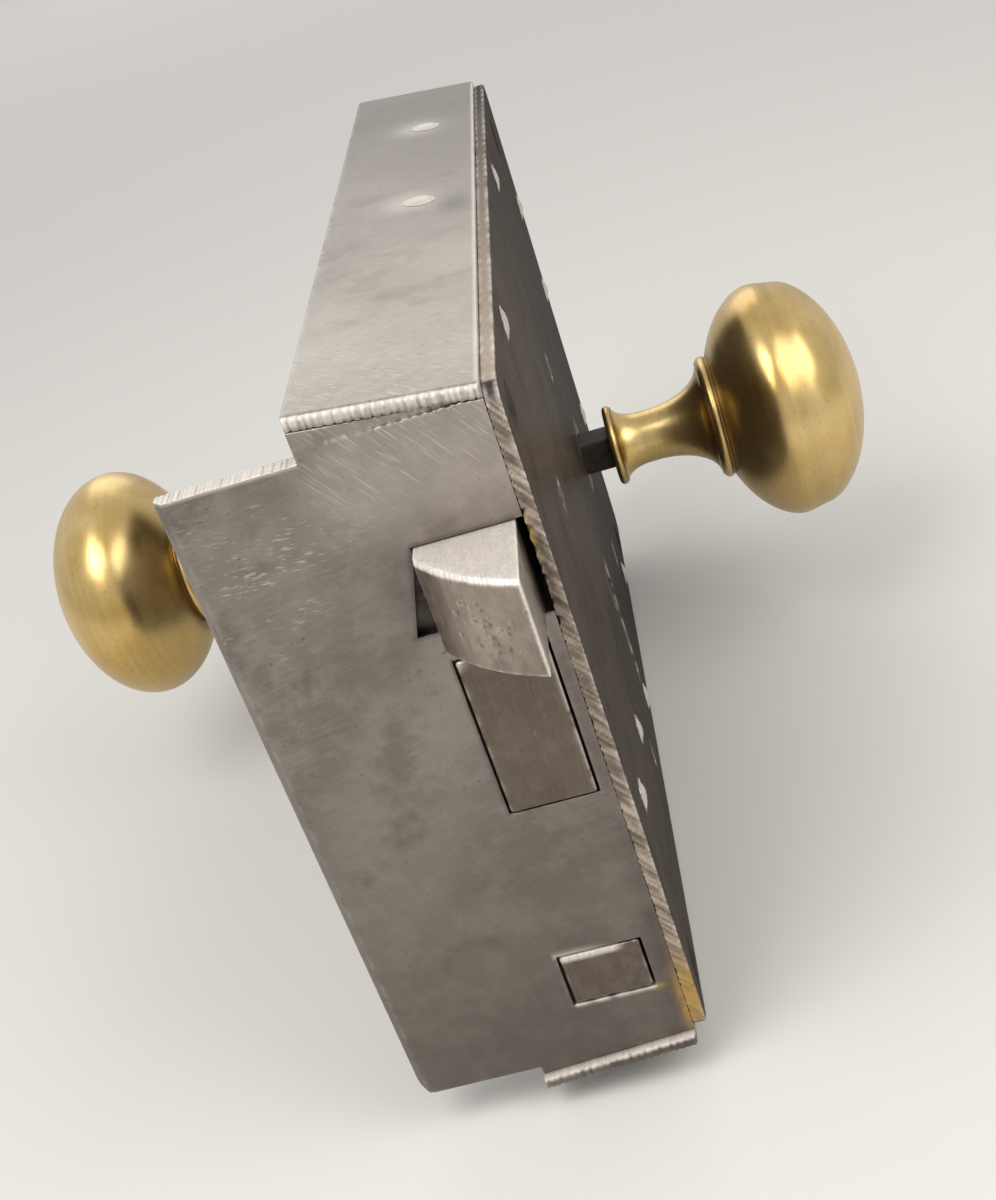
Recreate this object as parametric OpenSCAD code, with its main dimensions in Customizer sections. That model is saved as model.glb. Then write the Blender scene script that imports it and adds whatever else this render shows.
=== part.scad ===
// Rim box lock: a plate-iron case with a lipped selvedge, a knob latch, a key bolt and a night bolt.
// X runs from the selvedge to the rear, Y from the room side to the door, Z up.
// Origin: inner face of the lip (X), door face of the case (Y), the line between latch and key bolt (Z).

/* [Case] */
// Length of the case, selvedge face to rear face
case_length = 203; // [190:1:240]
// Depth of the case, room face to door face
case_depth = 31.5; // [30:0.5:40]
// Height of the selvedge lip
lip_height = 127; // [122:1:150]
// Height of the latch line, between latch and key bolt, above the selvedge's bottom edge
latch_line = 85; // [84:0.5:88]
// Width of the lip that laps the door's edge
lip_width = 23; // [15:1:30]
// Thickness of the selvedge plate
selvedge_t = 3.5; // [2.5:0.1:5]
// Thickness of the main plate on the room side
main_t = 2.4; // [1.5:0.1:3.5]
// Thickness of the top, bottom and rear plates
rim_t = 2.4; // [1.5:0.1:3.5]
// Corner radius of the main plate
main_corner_r = 4; // [2:0.5:6]
// Rise of the top plate above the lip at the room side
top_rise = 4; // [3:0.5:8]
// Splay of the top plate, rising toward the door, in degrees
top_splay = 6.7; // [0:0.1:8]
// Drop of the bottom plate below the lip at the door side
bottom_drop = 1.6; // [1:0.1:4]
// Splay of the bottom plate, falling toward the door, in degrees
bottom_splay = 4.5; // [0:0.1:6]
// How far the bottom plate's end stands out in front of the selvedge
bottom_ledge = 1.7; // [0.5:0.1:3]

/* [Fastenings] */
// Distance of the front mounting holes from the lip's inner face
mount_front_x = 8; // [7:0.5:10]
// Distance between front and rear mounting holes
mount_spacing_x = 170; // [150:1:172]
// Height of the upper mounting holes above the latch line
mount_top_z = 36; // [34:0.5:38]
// Distance between upper and lower mounting holes
mount_spacing_z = 115; // [114:0.5:116]
// Diameter of the mounting holes
mount_hole_d = 5.5; // [4:0.1:6.5]
// Diameter of the countersink of the mounting holes
mount_sink_d = 9.5; // [8:0.1:11]
// Diameter of the case rivets
rivet_d = 4; // [3:0.1:4.6]
// Diameter of the rivet heads
rivet_head_d = 6.4; // [5:0.1:8]
// Height of the rivet heads
rivet_head_h = 0.9; // [0.4:0.1:1.5]
// Width of the bent tabs that the rivets hold
tab_width = 12; // [9:0.5:14]
// Length of the bent tabs
tab_length = 10; // [9:0.5:14]

/* [Knobs and spindle] */
// Distance of the spindle axis from the lip's inner face
spindle_x = 143; // [140:0.5:145]
// Depth of the spindle axis below the latch line
spindle_drop = 35.6; // [34:0.1:37]
// Side of the square spindle
spindle_side = 8; // [6:0.1:9]
// Diameter of the round tang inside each knob
tang_d = 7.2; // [6:0.1:7.6]
// Length of the tang inside each knob
tang_length = 33; // [20:1:38]
// Gap between the case and the room knob
room_gap = 7; // [4:0.5:16]
// Gap between the case and the door knob, the door's thickness
door_gap = 43.3; // [30:0.1:60]
// Diameter of the knob's ball
knob_d = 57.2; // [50:0.1:64]
// Length of the knob, flare to crown
knob_length = 61; // [58:0.1:68]
// Diameter of the knob's flare next to the case
flare_d = 19.6; // [17:0.1:24]
// Smallest diameter of the knob's neck
neck_d = 12.6; // [11.5:0.1:14]
// Diameter of the ring at the ball's back
collar_d = 30; // [26:0.1:34]
// Diameter of the set screw in each knob's neck
knob_screw_d = 3.2; // [2.5:0.1:4]

/* [Follower] */
// Diameter of the follower's hub
hub_d = 22; // [19:0.5:23]
// Diameter of the journals that turn in the plates
journal_d = 16; // [14:0.5:17]
// Radius from the spindle axis to the centre of the horn's tip
horn_reach = 25; // [23:0.5:26]
// Width of the horn's rounded tip
horn_tip_d = 8; // [6:0.5:9]
// Thickness of the horn along the spindle
horn_t = 8; // [6:0.5:10]

/* [Latch] */
// Projection of the latch nose from the selvedge
latch_throw = 19; // [16:0.5:19]
// Projection of the latch at its door side
latch_heel = 4; // [2:0.5:6]
// Radius of the latch's rounded bevel
latch_bevel_r = 39; // [30:1:60]
// Width of the latch head, across the case
latch_width = 16.1; // [12:0.1:16.4]
// Height of the latch head
latch_height = 16.5; // [14:0.1:16.5]
// Height of the latch's underside above the latch line
latch_z = 7.1; // [6.5:0.1:7.5]
// Length of the latch head behind the lip's inner face
latch_root = 24; // [20:0.5:26]
// Gap between the latch head and the main plate
latch_side_gap = 1.3; // [0.6:0.1:2]
// Width of the leaf spring behind the latch
latch_spring_w = 6; // [4:0.5:8]
// Thickness of the leaf spring behind the latch
latch_spring_t = 1.4; // [0.8:0.1:1.8]

/* [Key bolt] */
// Travel of the key bolt
bolt_throw = 16; // [12:0.5:17]
// Width of the key bolt's head, across the case
bolt_width = 14.9; // [12:0.1:15.5]
// Height of the key bolt's head
bolt_height = 30.6; // [28:0.1:31]
// Height of the bolt head's top above the latch line
bolt_top_z = 2.6; // [2:0.1:3]
// How far the drawn-in bolt stands out of the selvedge
bolt_proud = 0.4; // [0:0.1:1]
// Length of the bolt, measured from the lip's inner face to its tail end
bolt_tail_x = 126; // [124:1:128]
// Height of the bolt's tail bar
bolt_tail_h = 14.5; // [13:0.1:15]
// Thickness of the flat tails of the three bolts
tail_t = 6; // [4:0.5:7]
// Distance of the key axis from the lip's inner face
key_x = 98; // [96:0.5:100]
// Depth of the key axis below the latch line
key_drop = 48; // [47:0.5:49]
// Radius that the key's bit reaches
key_bit_r = 24; // [23:0.5:25]
// Width of the keyhole's slot
keyhole_slot_w = 5.6; // [5.4:0.1:7]
// Diameter of the keyhole's round top
keyhole_d = 9; // [8:0.1:11]
// Radius of the ward rings
ward_r = 12; // [10:0.5:14]
// Wall of the ward rings
ward_t = 1.4; // [1:0.1:2]
// Height of the ward rings
ward_h = 5; // [3:0.5:7]

/* [Night bolt] */
// Travel of the night bolt
night_throw = 12; // [8:0.5:13]
// Width of the night bolt's head, across the case
night_width = 14.6; // [12:0.1:15]
// Height of the night bolt's head
night_height = 11.1; // [10:0.1:11.5]
// Depth of the night bolt's top below the latch line
night_drop = 60.9; // [60:0.1:61.5]
// Distance of the thumb knob from the lip's inner face
thumb_x = 34; // [32:0.5:36]
// Diameter of the thumb knob
thumb_d = 13; // [10:0.5:15]
// Height of the thumb knob
thumb_h = 6; // [4:0.5:9]
// Diameter of the thumb knob's stem
thumb_stem_d = 5.6; // [4:0.1:6]

/* [Cap] */
// Thickness of the cap plate
cap_t = 2; // [1.5:0.1:3]
// Depth of the cap below the door face
cap_inset = 0.5; // [0.2:0.1:1]
// Diameter of the posts that carry the cap
post_d = 7; // [6:0.1:8]
// Diameter of the cap screws
cap_screw_d = 3.5; // [3:0.1:4]
// Diameter of the cap screws' heads
cap_screw_head_d = 6.6; // [5.5:0.1:7]

/* [Clearances] */
// Gap around each bolt in its opening or guide
slide_gap = 0.3; // [0.2:0.05:0.5]
// Radial gap of turning journals
run_gap = 0.05; // [0.02:0.01:0.1]
// Radial gap of rivets, screws and tenons in their holes
seat_gap = 0.03; // [0.01:0.01:0.1]

/* [Hidden] */
$fn = 64;
cut = 1;

// Levels of the case
front_x = -selvedge_t;
rear_x = case_length - selvedge_t;
room_y = -case_depth;
in_y = room_y + main_t;
bottom_z = -latch_line;
lip_z = lip_height - latch_line;
spindle_z = -spindle_drop;
main_top_inset = 0.8;
main_low_drop = 0.3;
main_top_z = lip_z + top_rise - main_top_inset;
main_low_z = bottom_z - main_low_drop;
plate_edge_r = rim_t * 0.55;
tail_stand = 11.1;
tail_y = in_y + tail_stand;
lap = 0.2;
rivet_hole_d = rivet_d + 2 * seat_gap;
post_hole_d = cap_screw_d + 2 * seat_gap;
journal_hole_d = journal_d + 2 * run_gap;

// Surfaces of the splayed top and bottom plates at a given Y
function top_out(y) = lip_z + top_rise + (y - in_y) * tan(top_splay);
function top_in(y) = top_out(y) - rim_t / cos(top_splay);
function low_in(y) = bottom_z - bottom_drop - y * tan(bottom_splay);
function low_out(y) = low_in(y) - rim_t / cos(bottom_splay);

// Rivet places on the main plate, [X, Z]
top_tab_x = [41, 133];
low_tab_x = [98, 158];
rear_tab_z = [14, -9, -46];
tab_rivet_inset = 5.5;
tab_t = rim_t;
rivet_inner_d = 5.4;
rivet_inner_h = 0.8;
top_rivet_z = top_in(in_y) - tab_rivet_inset;
low_rivet_z = low_in(in_y) + tab_rivet_inset;
rear_rivet_x = rear_x - rim_t - tab_rivet_inset;
night_staple_x = 50;
night_spring_x = 14;
night_spring_z = -44;
tab_rivets = concat(
    [for (x = top_tab_x) [x, top_rivet_z]],
    [for (x = low_tab_x) [x, low_rivet_z]],
    [for (z = rear_tab_z) [rear_rivet_x, z]]);

// Tail guide, and the row of rivets through the top plate
tail_guide_x = 98;
tail_guide_len = 8;
tail_guide_wall = 3;
top_rivet_y = tail_y;

// Mounting holes, [X, Z]
mount_holes = [for (x = [0, 1], z = [0, 1])
    [mount_front_x + x * mount_spacing_x, mount_top_z - z * mount_spacing_z]];

// Knob profile
room_flare_y = room_y - room_gap;
knob_screw_at = 9.9;
flare_rim = 1.1;
neck_at = 8.6;
neck_end = 10.4;
collar_at = 24.4;
collar_bead = 1.6;
collar_lip = 1.2;
flare_hollow = 0.5;
bead_flat = 0.9;
bead_from = -60;
bead_to = 40;
bead_end = [collar_d / 2 - collar_bead * (1 - cos(bead_to)),
    collar_at + collar_bead * (1 + bead_flat * sin(bead_to))];
ball_seat = 0.3;
ball_mid = 42.6;
ball_from = -acos(2 * bead_end[0] / knob_d);
ball_half = (ball_mid - bead_end[1] - ball_seat) / sin(-ball_from);
ball_band = 2.2;
band_step = 0.8;
band_fall = 0.8;
band_z = ball_mid + ball_band + band_fall;
crown_to = 88;

// Follower and latch tail
hub_gap = 0.3;
horn_turn = 43.7;
lug_w = 8;
lug_spare = 2;
lug_front = spindle_x + horn_tip_d / 2 + slide_gap;
lug_back = lug_front + lug_w;
lug_low = spindle_z + horn_reach * cos(horn_turn) - lug_spare;
tail_bar_h = 8.5;
tail_bar_low = latch_z + (latch_height - tail_bar_h) / 2;
tail_bar_high = tail_bar_low + tail_bar_h;
latch_y = in_y + latch_side_gap;

// Centre of the latch's bevel arc: through the nose at the room side and the heel at the door side
bevel_chord = [latch_throw - latch_heel, latch_width];
bevel_half = norm(bevel_chord) / 2;
bevel_back = sqrt(pow(latch_bevel_r, 2) - pow(bevel_half, 2));
bevel_centre = [front_x - (latch_throw + latch_heel) / 2, latch_y + latch_width / 2]
    + bevel_back / norm(bevel_chord) * [bevel_chord[1], -bevel_chord[0]];

// Filed details of the selvedge
relief_w = 4.2;
relief_depth = 1.7;
relief_foot = 1.5;
step_rise = 2;
step_z = lip_z + step_rise;
step_depth = 1;
step_end_y = -5;
lip_bevel = 1.6;
lip_corner_r = 3;

// Latch spring: foot under the top plate, bend, thinner leaf that bears on the end of the latch's tail
spring_rear_gap = 12;
spring_foot = 17;
spring_foot_end = 5;
spring_bend_r = 8;
spring_curl_r = 1.8;
spring_leaf_t = latch_spring_t * 0.85;
spring_lap = 2;
spring_twist = latch_spring_w / 2 * tan(top_splay);
spring_bend_z = top_in(tail_y) - spring_twist - lap - latch_spring_t / 2 - spring_bend_r;
spring_bend_x = rear_x - rim_t - spring_rear_gap - spring_bend_r - latch_spring_t / 2;
spring_rivet_x = spring_bend_x - spring_foot;
spring_reach = [lug_back + slide_gap + spring_curl_r, tail_bar_low + tail_bar_h / 2]
    - [spring_bend_x, spring_bend_z];
spring_turn = asin(spring_bend_r / norm(spring_reach)) - atan2(spring_reach[1], spring_reach[0]);
spring_leaf = sqrt(pow(norm(spring_reach), 2) - pow(spring_bend_r, 2));
leaf_start = spring_bend_r * [sin(spring_turn), cos(spring_turn)];

// Key bolt
bolt_side_gap = 2.6;
bolt_y = in_y + bolt_side_gap;
bolt_root = 22;
bolt_low_z = bolt_top_z - bolt_height;
tail_inset = 0.3;
tail_low_z = bolt_low_z + tail_inset;
tail_top_z = tail_low_z + bolt_tail_h;
stud_x = 66;
stud_d = 6;
stud_head_d = 12;
stud_head_h = 2.4;
stud_z = (tail_low_z + tail_top_z) / 2;
talon_w = 10;
talon_depth = 5;
staple_x = 48;
staple_len = 8;
staple_t = 3;
key_z = -key_drop;
bit_gap = 0.6;
back_spring_chord = 30;
back_spring_rise = 3;
back_spring_t = 1.2;
back_spring_x = 108;
back_spring_w = 5;
detent_d = 6;
detent_over = 2;
detent_x = back_spring_x - bolt_throw / 2;
detent_z = tail_top_z + back_spring_rise + back_spring_t + slide_gap + detent_d / 2;

// Night bolt
night_offset = 0.5;
night_y = tail_y - night_width / 2 + night_offset;
night_top_z = -night_drop;
night_low_z = night_top_z - night_height;
night_root = 20;
night_tail_x = 62;
night_tail_h = 8;
night_tail_low = night_top_z - (night_height + night_tail_h) / 2;
staple_foot_t = 2;
staple_foot = 9;
night_rivet_z = night_tail_low + night_tail_h + slide_gap + staple_t + staple_foot / 2;
night_rivets = [[night_staple_x, night_rivet_z], [night_spring_x, night_spring_z]];
night_arm_w = 1.4;
night_foot_w = 8;
thumb_tenon = 5;
thumb_shoulder = 0.5;
thumb_tenon_d = thumb_stem_d - 2 * thumb_shoulder;
thumb_gap = 0.4;
thumb_top_z = low_out(tail_y + thumb_d / 2) - thumb_gap;

// Cap
cap_y = -cap_inset - cap_t;
cap_x0 = 40;
cap_past = 19;
cap_x1 = spindle_x + cap_past;
cap_z0 = -79;
cap_z1 = 14;
cap_corner_r = 6;
post_past = 3;
posts = [[46, 2], [118, -2], [67, -73], [spindle_x + post_past, -66]];
screw_depth = 9;
screw_slot_w = 0.9;
screw_slot_depth = 0.8;
screw_head_h = cap_t * 0.8;

// Colours, as photographed
steel = [0.45, 0.43, 0.41];
dark_iron = [0.22, 0.21, 0.20];
spring_steel = [0.30, 0.30, 0.33];
brass = [0.72, 0.57, 0.26];

// A flat shape in X and Z, given thickness along Y from y0 to y1
module plate_xz(y0, y1) {
    translate([0, y1, 0])
        rotate([90, 0, 0])
            linear_extrude(y1 - y0)
                children();
}

// A flat shape in Y and Z, given thickness along X from x0 to x1
module plate_yz(x0, x1) {
    translate([x0, 0, 0])
        rotate([90, 0, 90])
            linear_extrude(x1 - x0)
                children();
}

// A round bar along Y
module bar_y(x, z, y0, y1, d) {
    translate([x, y1, z])
        rotate([90, 0, 0])
            cylinder(d = d, h = y1 - y0);
}

// A rectangle from corner to corner
module rect(a, b) {
    translate(a)
        square(b - a);
}

// A rectangle with round corners
module round_rect(a, b, r) {
    rect(a + [r, 0], b - [r, 0]);
    rect(a + [0, r], b - [0, r]);
    for (x = [a[0] + r, b[0] - r], z = [a[1] + r, b[1] - r])
        translate([x, z])
            circle(r);
}

// What a rounded corner takes away, with the body in the first quadrant
module corner_waste(r) {
    difference() {
        translate([-cut, -cut])
            square(r + cut);
        translate([r, r])
            circle(r);
    }
}

// Keyhole: a round top and a slot for the bit
module keyhole() {
    translate([key_x, key_z])
        circle(d = keyhole_d);
    rect([key_x - keyhole_slot_w / 2, key_z - key_bit_r - bit_gap], [key_x + keyhole_slot_w / 2, key_z]);
}

module main_plate() {
    color(steel)
        difference() {
            plate_xz(room_y, in_y)
                difference() {
                    round_rect([front_x, main_low_z], [rear_x, main_top_z], main_corner_r);
                    translate([spindle_x, spindle_z])
                        circle(d = journal_hole_d);
                    keyhole();
                    for (p = concat(tab_rivets, night_rivets, posts))
                        translate(p)
                            circle(d = rivet_hole_d);
                    for (p = mount_holes)
                        translate(p)
                            circle(d = mount_hole_d);
                }
            for (p = mount_holes)
                translate([p[0], room_y, p[1]])
                    rotate([-90, 0, 0])
                        cylinder(d1 = mount_sink_d, d2 = mount_hole_d, h = main_t / 2);
        }
}

// Plate with a rounded front edge on its outer side, lying on Z = 0 with its body below
module edge_rounded_plate(x0, r) {
    rect([x0, -rim_t], [rear_x, -r]);
    rect([x0 + r, -rim_t], [rear_x, 0]);
    translate([x0 + r, -r])
        circle(r);
}

// Bent tab on the inner face of the main plate
module tab(a, b, p) {
    plate_xz(in_y, in_y + tab_t)
        difference() {
            rect(a, b);
            translate(p)
                circle(d = rivet_hole_d);
        }
}

module top_plate() {
    color(steel)
        difference() {
            union() {
                intersection() {
                    translate([0, in_y, top_out(in_y)])
                        rotate([top_splay, 0, 0])
                            plate_xz(-rim_t, case_depth + rim_t)
                                edge_rounded_plate(front_x, plate_edge_r);
                    translate([front_x - cut, in_y, 0])
                        cube([case_length + 2 * cut, -in_y, lip_z + case_depth]);
                }
                for (x = top_tab_x)
                    tab([x - tab_width / 2, top_in(in_y) - tab_length],
                        [x + tab_width / 2, top_in(in_y) + lap], [x, top_rivet_z]);
            }
            for (x = [tail_guide_x, spring_rivet_x])
                top_rivet(x, rivet_hole_d, rim_t + cut, cut);
        }
}

module bottom_plate() {
    color(steel)
        difference() {
            union() {
                intersection() {
                    translate([0, 0, low_in(0)])
                        rotate([-bottom_splay, 0, 0])
                            plate_xz(-case_depth - rim_t, rim_t)
                                rect([front_x - bottom_ledge, -rim_t], [rear_x, 0]);
                    translate([front_x - bottom_ledge, in_y, low_out(0) - cut])
                        cube([case_length + bottom_ledge, -in_y, case_depth]);
                }
                for (x = low_tab_x)
                    tab([x - tab_width / 2, low_in(in_y) - lap],
                        [x + tab_width / 2, low_in(in_y) + tab_length], [x, low_rivet_z]);
            }
            translate([0, tail_y, low_out(0) - cut])
                linear_extrude(case_depth)
                    thumb_slot();
        }
}

// Slot that the thumb knob's stem runs in
module thumb_slot() {
    w = thumb_stem_d + 2 * slide_gap;
    rect([thumb_x - night_throw, -w / 2], [thumb_x, w / 2]);
    for (x = [thumb_x - night_throw, thumb_x])
        translate([x, 0])
            circle(d = w);
}

module rear_plate() {
    color(steel) {
        plate_yz(rear_x - rim_t, rear_x)
            polygon([[in_y, low_in(in_y)], [0, low_in(0)], [0, top_in(0)], [in_y, top_in(in_y)]]);
        for (z = rear_tab_z)
            tab([rear_x - rim_t - tab_length, z - tab_width / 2], [rear_x - rim_t + lap, z + tab_width / 2],
                [rear_rivet_x, z]);
    }
}

module selvedge() {
    color(steel)
        difference() {
            plate_yz(front_x, 0)
                difference() {
                    polygon([[in_y, low_in(in_y)], [0, low_in(0)], [0, bottom_z], [lip_width, bottom_z],
                        [lip_width, lip_z], [0, lip_z], [0, top_in(0)], [in_y, top_in(in_y)]]);
                    translate([lip_width, bottom_z])
                        mirror([1, 0])
                            corner_waste(lip_corner_r);
                    rect([in_y - cut, latch_z - slide_gap],
                        [latch_y + latch_width + slide_gap, latch_z + latch_height + slide_gap]);
                    rect([bolt_y - slide_gap, bolt_low_z - slide_gap],
                        [bolt_y + bolt_width + slide_gap, bolt_top_z + slide_gap]);
                    rect([night_y - slide_gap, night_low_z - slide_gap],
                        [night_y + night_width + slide_gap, night_top_z + slide_gap]);
                }
            latch_relief();
            // Filed step under the top plate, running out toward the door
            translate([front_x, 0, step_z])
                linear_extrude(top_out(0) - step_z)
                    polygon([[-cut, step_end_y], [0, step_end_y],
                        [step_depth, in_y - cut], [-cut, in_y - cut]]);
            // Bevel along the lip's free edge
            translate([front_x, lip_width, bottom_z - cut])
                linear_extrude(lip_height + 2 * cut)
                    polygon([[-cut, cut], [-cut, -lip_bevel - cut], [lip_bevel + cut, cut]]);
        }
}

// Filed relief beside the latch, widening downward
module latch_relief() {
    y = latch_y + latch_width;
    z = latch_z + latch_height;
    plate_yz(front_x - cut, front_x + relief_depth)
        polygon([[y, z], [y + relief_w, latch_z + relief_foot], [y, latch_z + relief_foot]]);
}

// Rivet through the splayed top plate, with its head at the outer face
module top_rivet(x, d, below, above) {
    translate([x, top_rivet_y, top_out(top_rivet_y)])
        rotate([top_splay, 0, 0])
            translate([0, 0, -below])
                cylinder(d = d, h = below + above);
}

module top_rivets() {
    color(steel)
        for (x = [tail_guide_x, spring_rivet_x]) {
            top_rivet(x, rivet_d, rim_t, lap);
            translate([x, top_rivet_y, top_out(top_rivet_y)])
                rotate([top_splay, 0, 0])
                    cylinder(d1 = rivet_head_d, d2 = rivet_d, h = rivet_head_h / 2);
        }
}

// Rivet in the main plate: domed head outside, shank, flat head inside
module case_rivet(p, grip) {
    bar_y(p[0], p[1], room_y - lap, in_y + grip + lap, rivet_d);
    r = (pow(rivet_head_d / 2, 2) + pow(rivet_head_h, 2)) / (2 * rivet_head_h);
    intersection() {
        translate([p[0], room_y - rivet_head_h + r, p[1]])
            sphere(r);
        bar_y(p[0], p[1], room_y - rivet_head_h - cut, room_y, rivet_head_d);
    }
    bar_y(p[0], p[1], in_y + grip, in_y + grip + rivet_inner_h, rivet_inner_d);
}

module case_rivets() {
    color(steel) {
        for (p = tab_rivets)
            case_rivet(p, tab_t);
        case_rivet(night_rivets[0], staple_foot_t);
        case_rivet(night_rivets[1], latch_spring_t);
    }
}

module cap_plate() {
    color(steel)
        difference() {
            plate_xz(cap_y, -cap_inset)
                difference() {
                    round_rect([cap_x0, cap_z0], [cap_x1, cap_z1], cap_corner_r);
                    translate([spindle_x, spindle_z])
                        circle(d = journal_hole_d);
                    keyhole();
                    for (p = posts)
                        translate(p)
                            circle(d = post_hole_d);
                }
            for (p = posts)
                translate([p[0], -cap_inset, p[1]])
                    rotate([90, 0, 0])
                        cylinder(d1 = cap_screw_head_d + 2 * seat_gap, d2 = post_hole_d, h = screw_head_h);
        }
}

module cap_posts() {
    color(dark_iron)
        for (p = posts)
            difference() {
                union() {
                    bar_y(p[0], p[1], in_y, cap_y, post_d);
                    bar_y(p[0], p[1], room_y, in_y + lap, rivet_d);
                }
                bar_y(p[0], p[1], cap_y - screw_depth, cap_y + cut, post_hole_d);
            }
}

module cap_screws() {
    color(dark_iron)
        for (p = posts)
            difference() {
                union() {
                    bar_y(p[0], p[1], cap_y - screw_depth + cut, -cap_inset, cap_screw_d);
                    translate([p[0], -cap_inset, p[1]])
                        rotate([90, 0, 0])
                            cylinder(d1 = cap_screw_head_d, d2 = cap_screw_d, h = screw_head_h);
                }
                translate([p[0] - cap_screw_head_d, -cap_inset - screw_slot_depth, p[1] - screw_slot_w / 2])
                    cube([2 * cap_screw_head_d, screw_slot_depth + cut, screw_slot_w]);
            }
}

module latch_bolt() {
    color(steel) {
        translate([0, 0, latch_z])
            linear_extrude(latch_height)
                intersection() {
                    rect([front_x - latch_throw, latch_y], [latch_root, latch_y + latch_width]);
                    translate(bevel_centre)
                        circle(latch_bevel_r);
                }
        plate_xz(tail_y - tail_t / 2, tail_y + tail_t / 2) {
            rect([latch_root - cut, tail_bar_low], [lug_back, tail_bar_high]);
            rect([lug_front, lug_low], [lug_back, tail_bar_high]);
        }
    }
}

// Lug under the top plate with a window for the latch's tail
module latch_tail_guide() {
    half = tail_t / 2 + slide_gap;
    y0 = tail_y - half - tail_guide_wall;
    y1 = tail_y + half + tail_guide_wall;
    z0 = tail_bar_low - slide_gap - tail_guide_wall;
    color(steel)
        plate_yz(tail_guide_x - tail_guide_len / 2, tail_guide_x + tail_guide_len / 2)
            difference() {
                polygon([[y0, z0], [y1, z0], [y1, top_in(y1)], [y0, top_in(y0)]]);
                rect([tail_y - half, tail_bar_low - slide_gap], [tail_y + half, tail_bar_high + slide_gap]);
            }
}

// Leaf spring: foot riveted under the top plate, a bend, a leaf bearing on the end of the latch's tail
module latch_spring() {
    bend_out = 2 * spring_bend_r;
    color(spring_steel) {
        translate([0, tail_y, top_in(tail_y)])
            rotate([top_splay, 0, 0])
                plate_xz(-latch_spring_w / 2, latch_spring_w / 2)
                    rect([spring_rivet_x - spring_foot_end, -latch_spring_t], [spring_bend_x, 0]);
        translate([spring_bend_x, tail_y, spring_bend_z])
            plate_xz(-latch_spring_w / 2, latch_spring_w / 2) {
                intersection() {
                    difference() {
                        circle(spring_bend_r + latch_spring_t / 2);
                        circle(spring_bend_r - latch_spring_t / 2);
                    }
                    polygon([[0, 0], [-spring_lap, bend_out], [bend_out, bend_out], [bend_out, -bend_out],
                        bend_out * [sin(spring_turn), cos(spring_turn)]]);
                }
                translate(leaf_start)
                    rotate(-spring_turn) {
                        rect([-lap, -spring_leaf_t / 2], [spring_leaf, spring_leaf_t / 2]);
                        translate([spring_leaf, 0])
                            circle(spring_curl_r);
                    }
            }
    }
}

module follower() {
    color(dark_iron)
        difference() {
            union() {
                bar_y(spindle_x, spindle_z, room_y, -cap_inset, journal_d);
                bar_y(spindle_x, spindle_z, in_y + hub_gap, cap_y - hub_gap, hub_d);
                plate_xz(tail_y - horn_t / 2, tail_y + horn_t / 2)
                    translate([spindle_x, spindle_z]) {
                        rect([-horn_tip_d / 2, 0], [horn_tip_d / 2, horn_reach]);
                        translate([0, horn_reach])
                            circle(d = horn_tip_d);
                    }
            }
            spindle_bar(room_y - cut, cut, spindle_side + 2 * seat_gap);
        }
}

// Square bar on the spindle axis
module spindle_bar(y0, y1, side) {
    translate([spindle_x - side / 2, y0, spindle_z - side / 2])
        cube([side, y1 - y0, side]);
}

module spindle() {
    color(dark_iron) {
        spindle_bar(room_flare_y, door_gap, spindle_side);
        bar_y(spindle_x, spindle_z, room_flare_y - tang_length, door_gap + tang_length, tang_d);
    }
}

// Points of an elliptic arc about c, with half axes a, from angle t0 to t1
function arc(c, a, t0, t1, n) = [for (i = [0:n]) let (t = t0 + (t1 - t0) * i / n)
    c + [a[0] * cos(t), a[1] * sin(t)]];

// Outline of half a knob: radius, then distance from the flare
function knob_outline() = let (hollow = flare_d / 2 - flare_hollow,
    collar = collar_d / 2 - collar_lip) concat(
    [[0, 0]],
    arc([flare_d / 2 - flare_rim, flare_rim], [flare_rim, flare_rim], -90, 60, 6),
    arc([hollow, neck_at], [hollow - neck_d / 2, neck_at - 2 * flare_rim], 270, 180, 10),
    arc([collar, neck_end], [collar - neck_d / 2, collar_at - neck_end], 180, 90, 12),
    arc([collar_d / 2 - collar_bead, collar_at + collar_bead], [collar_bead, collar_bead * bead_flat],
        bead_from, bead_to, 8),
    arc([0, ball_mid], [knob_d / 2, ball_half], ball_from, 0, 16),
    [[knob_d / 2, ball_mid + ball_band]],
    arc([0, band_z], [knob_d / 2 - band_step, (knob_length - band_z) / sin(crown_to)], 0, crown_to, 24),
    [[0, knob_length]]);

// Knob standing on its flare, along Z
module knob() {
    difference() {
        rotate_extrude()
            polygon(knob_outline());
        translate([0, 0, -cut])
            cylinder(d = tang_d + 2 * seat_gap, h = tang_length + cut);
    }
}

module room_knob() {
    color(brass)
        difference() {
            translate([spindle_x, room_flare_y, spindle_z])
                rotate([90, 0, 0])
                    knob();
            knob_screw(room_flare_y - knob_screw_at, knob_screw_d + 2 * seat_gap, cut, tang_d / 2);
        }
}

module door_knob() {
    color(brass)
        difference() {
            translate([spindle_x, door_gap, spindle_z])
                rotate([-90, 0, 0])
                    knob();
            knob_screw(door_gap + knob_screw_at, knob_screw_d + 2 * seat_gap, cut, tang_d / 2);
        }
}

// Set screw from below, through the neck's wall to the tang
module knob_screw(y, d, spare, inward) {
    translate([spindle_x, y, spindle_z - neck_d / 2 - spare])
        cylinder(d = d, h = (neck_d - tang_d) / 2 + spare + inward);
}

module knob_screws() {
    color(dark_iron) {
        knob_screw(room_flare_y - knob_screw_at, knob_screw_d, 0, -seat_gap);
        knob_screw(door_gap + knob_screw_at, knob_screw_d, 0, -seat_gap);
    }
}

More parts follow.
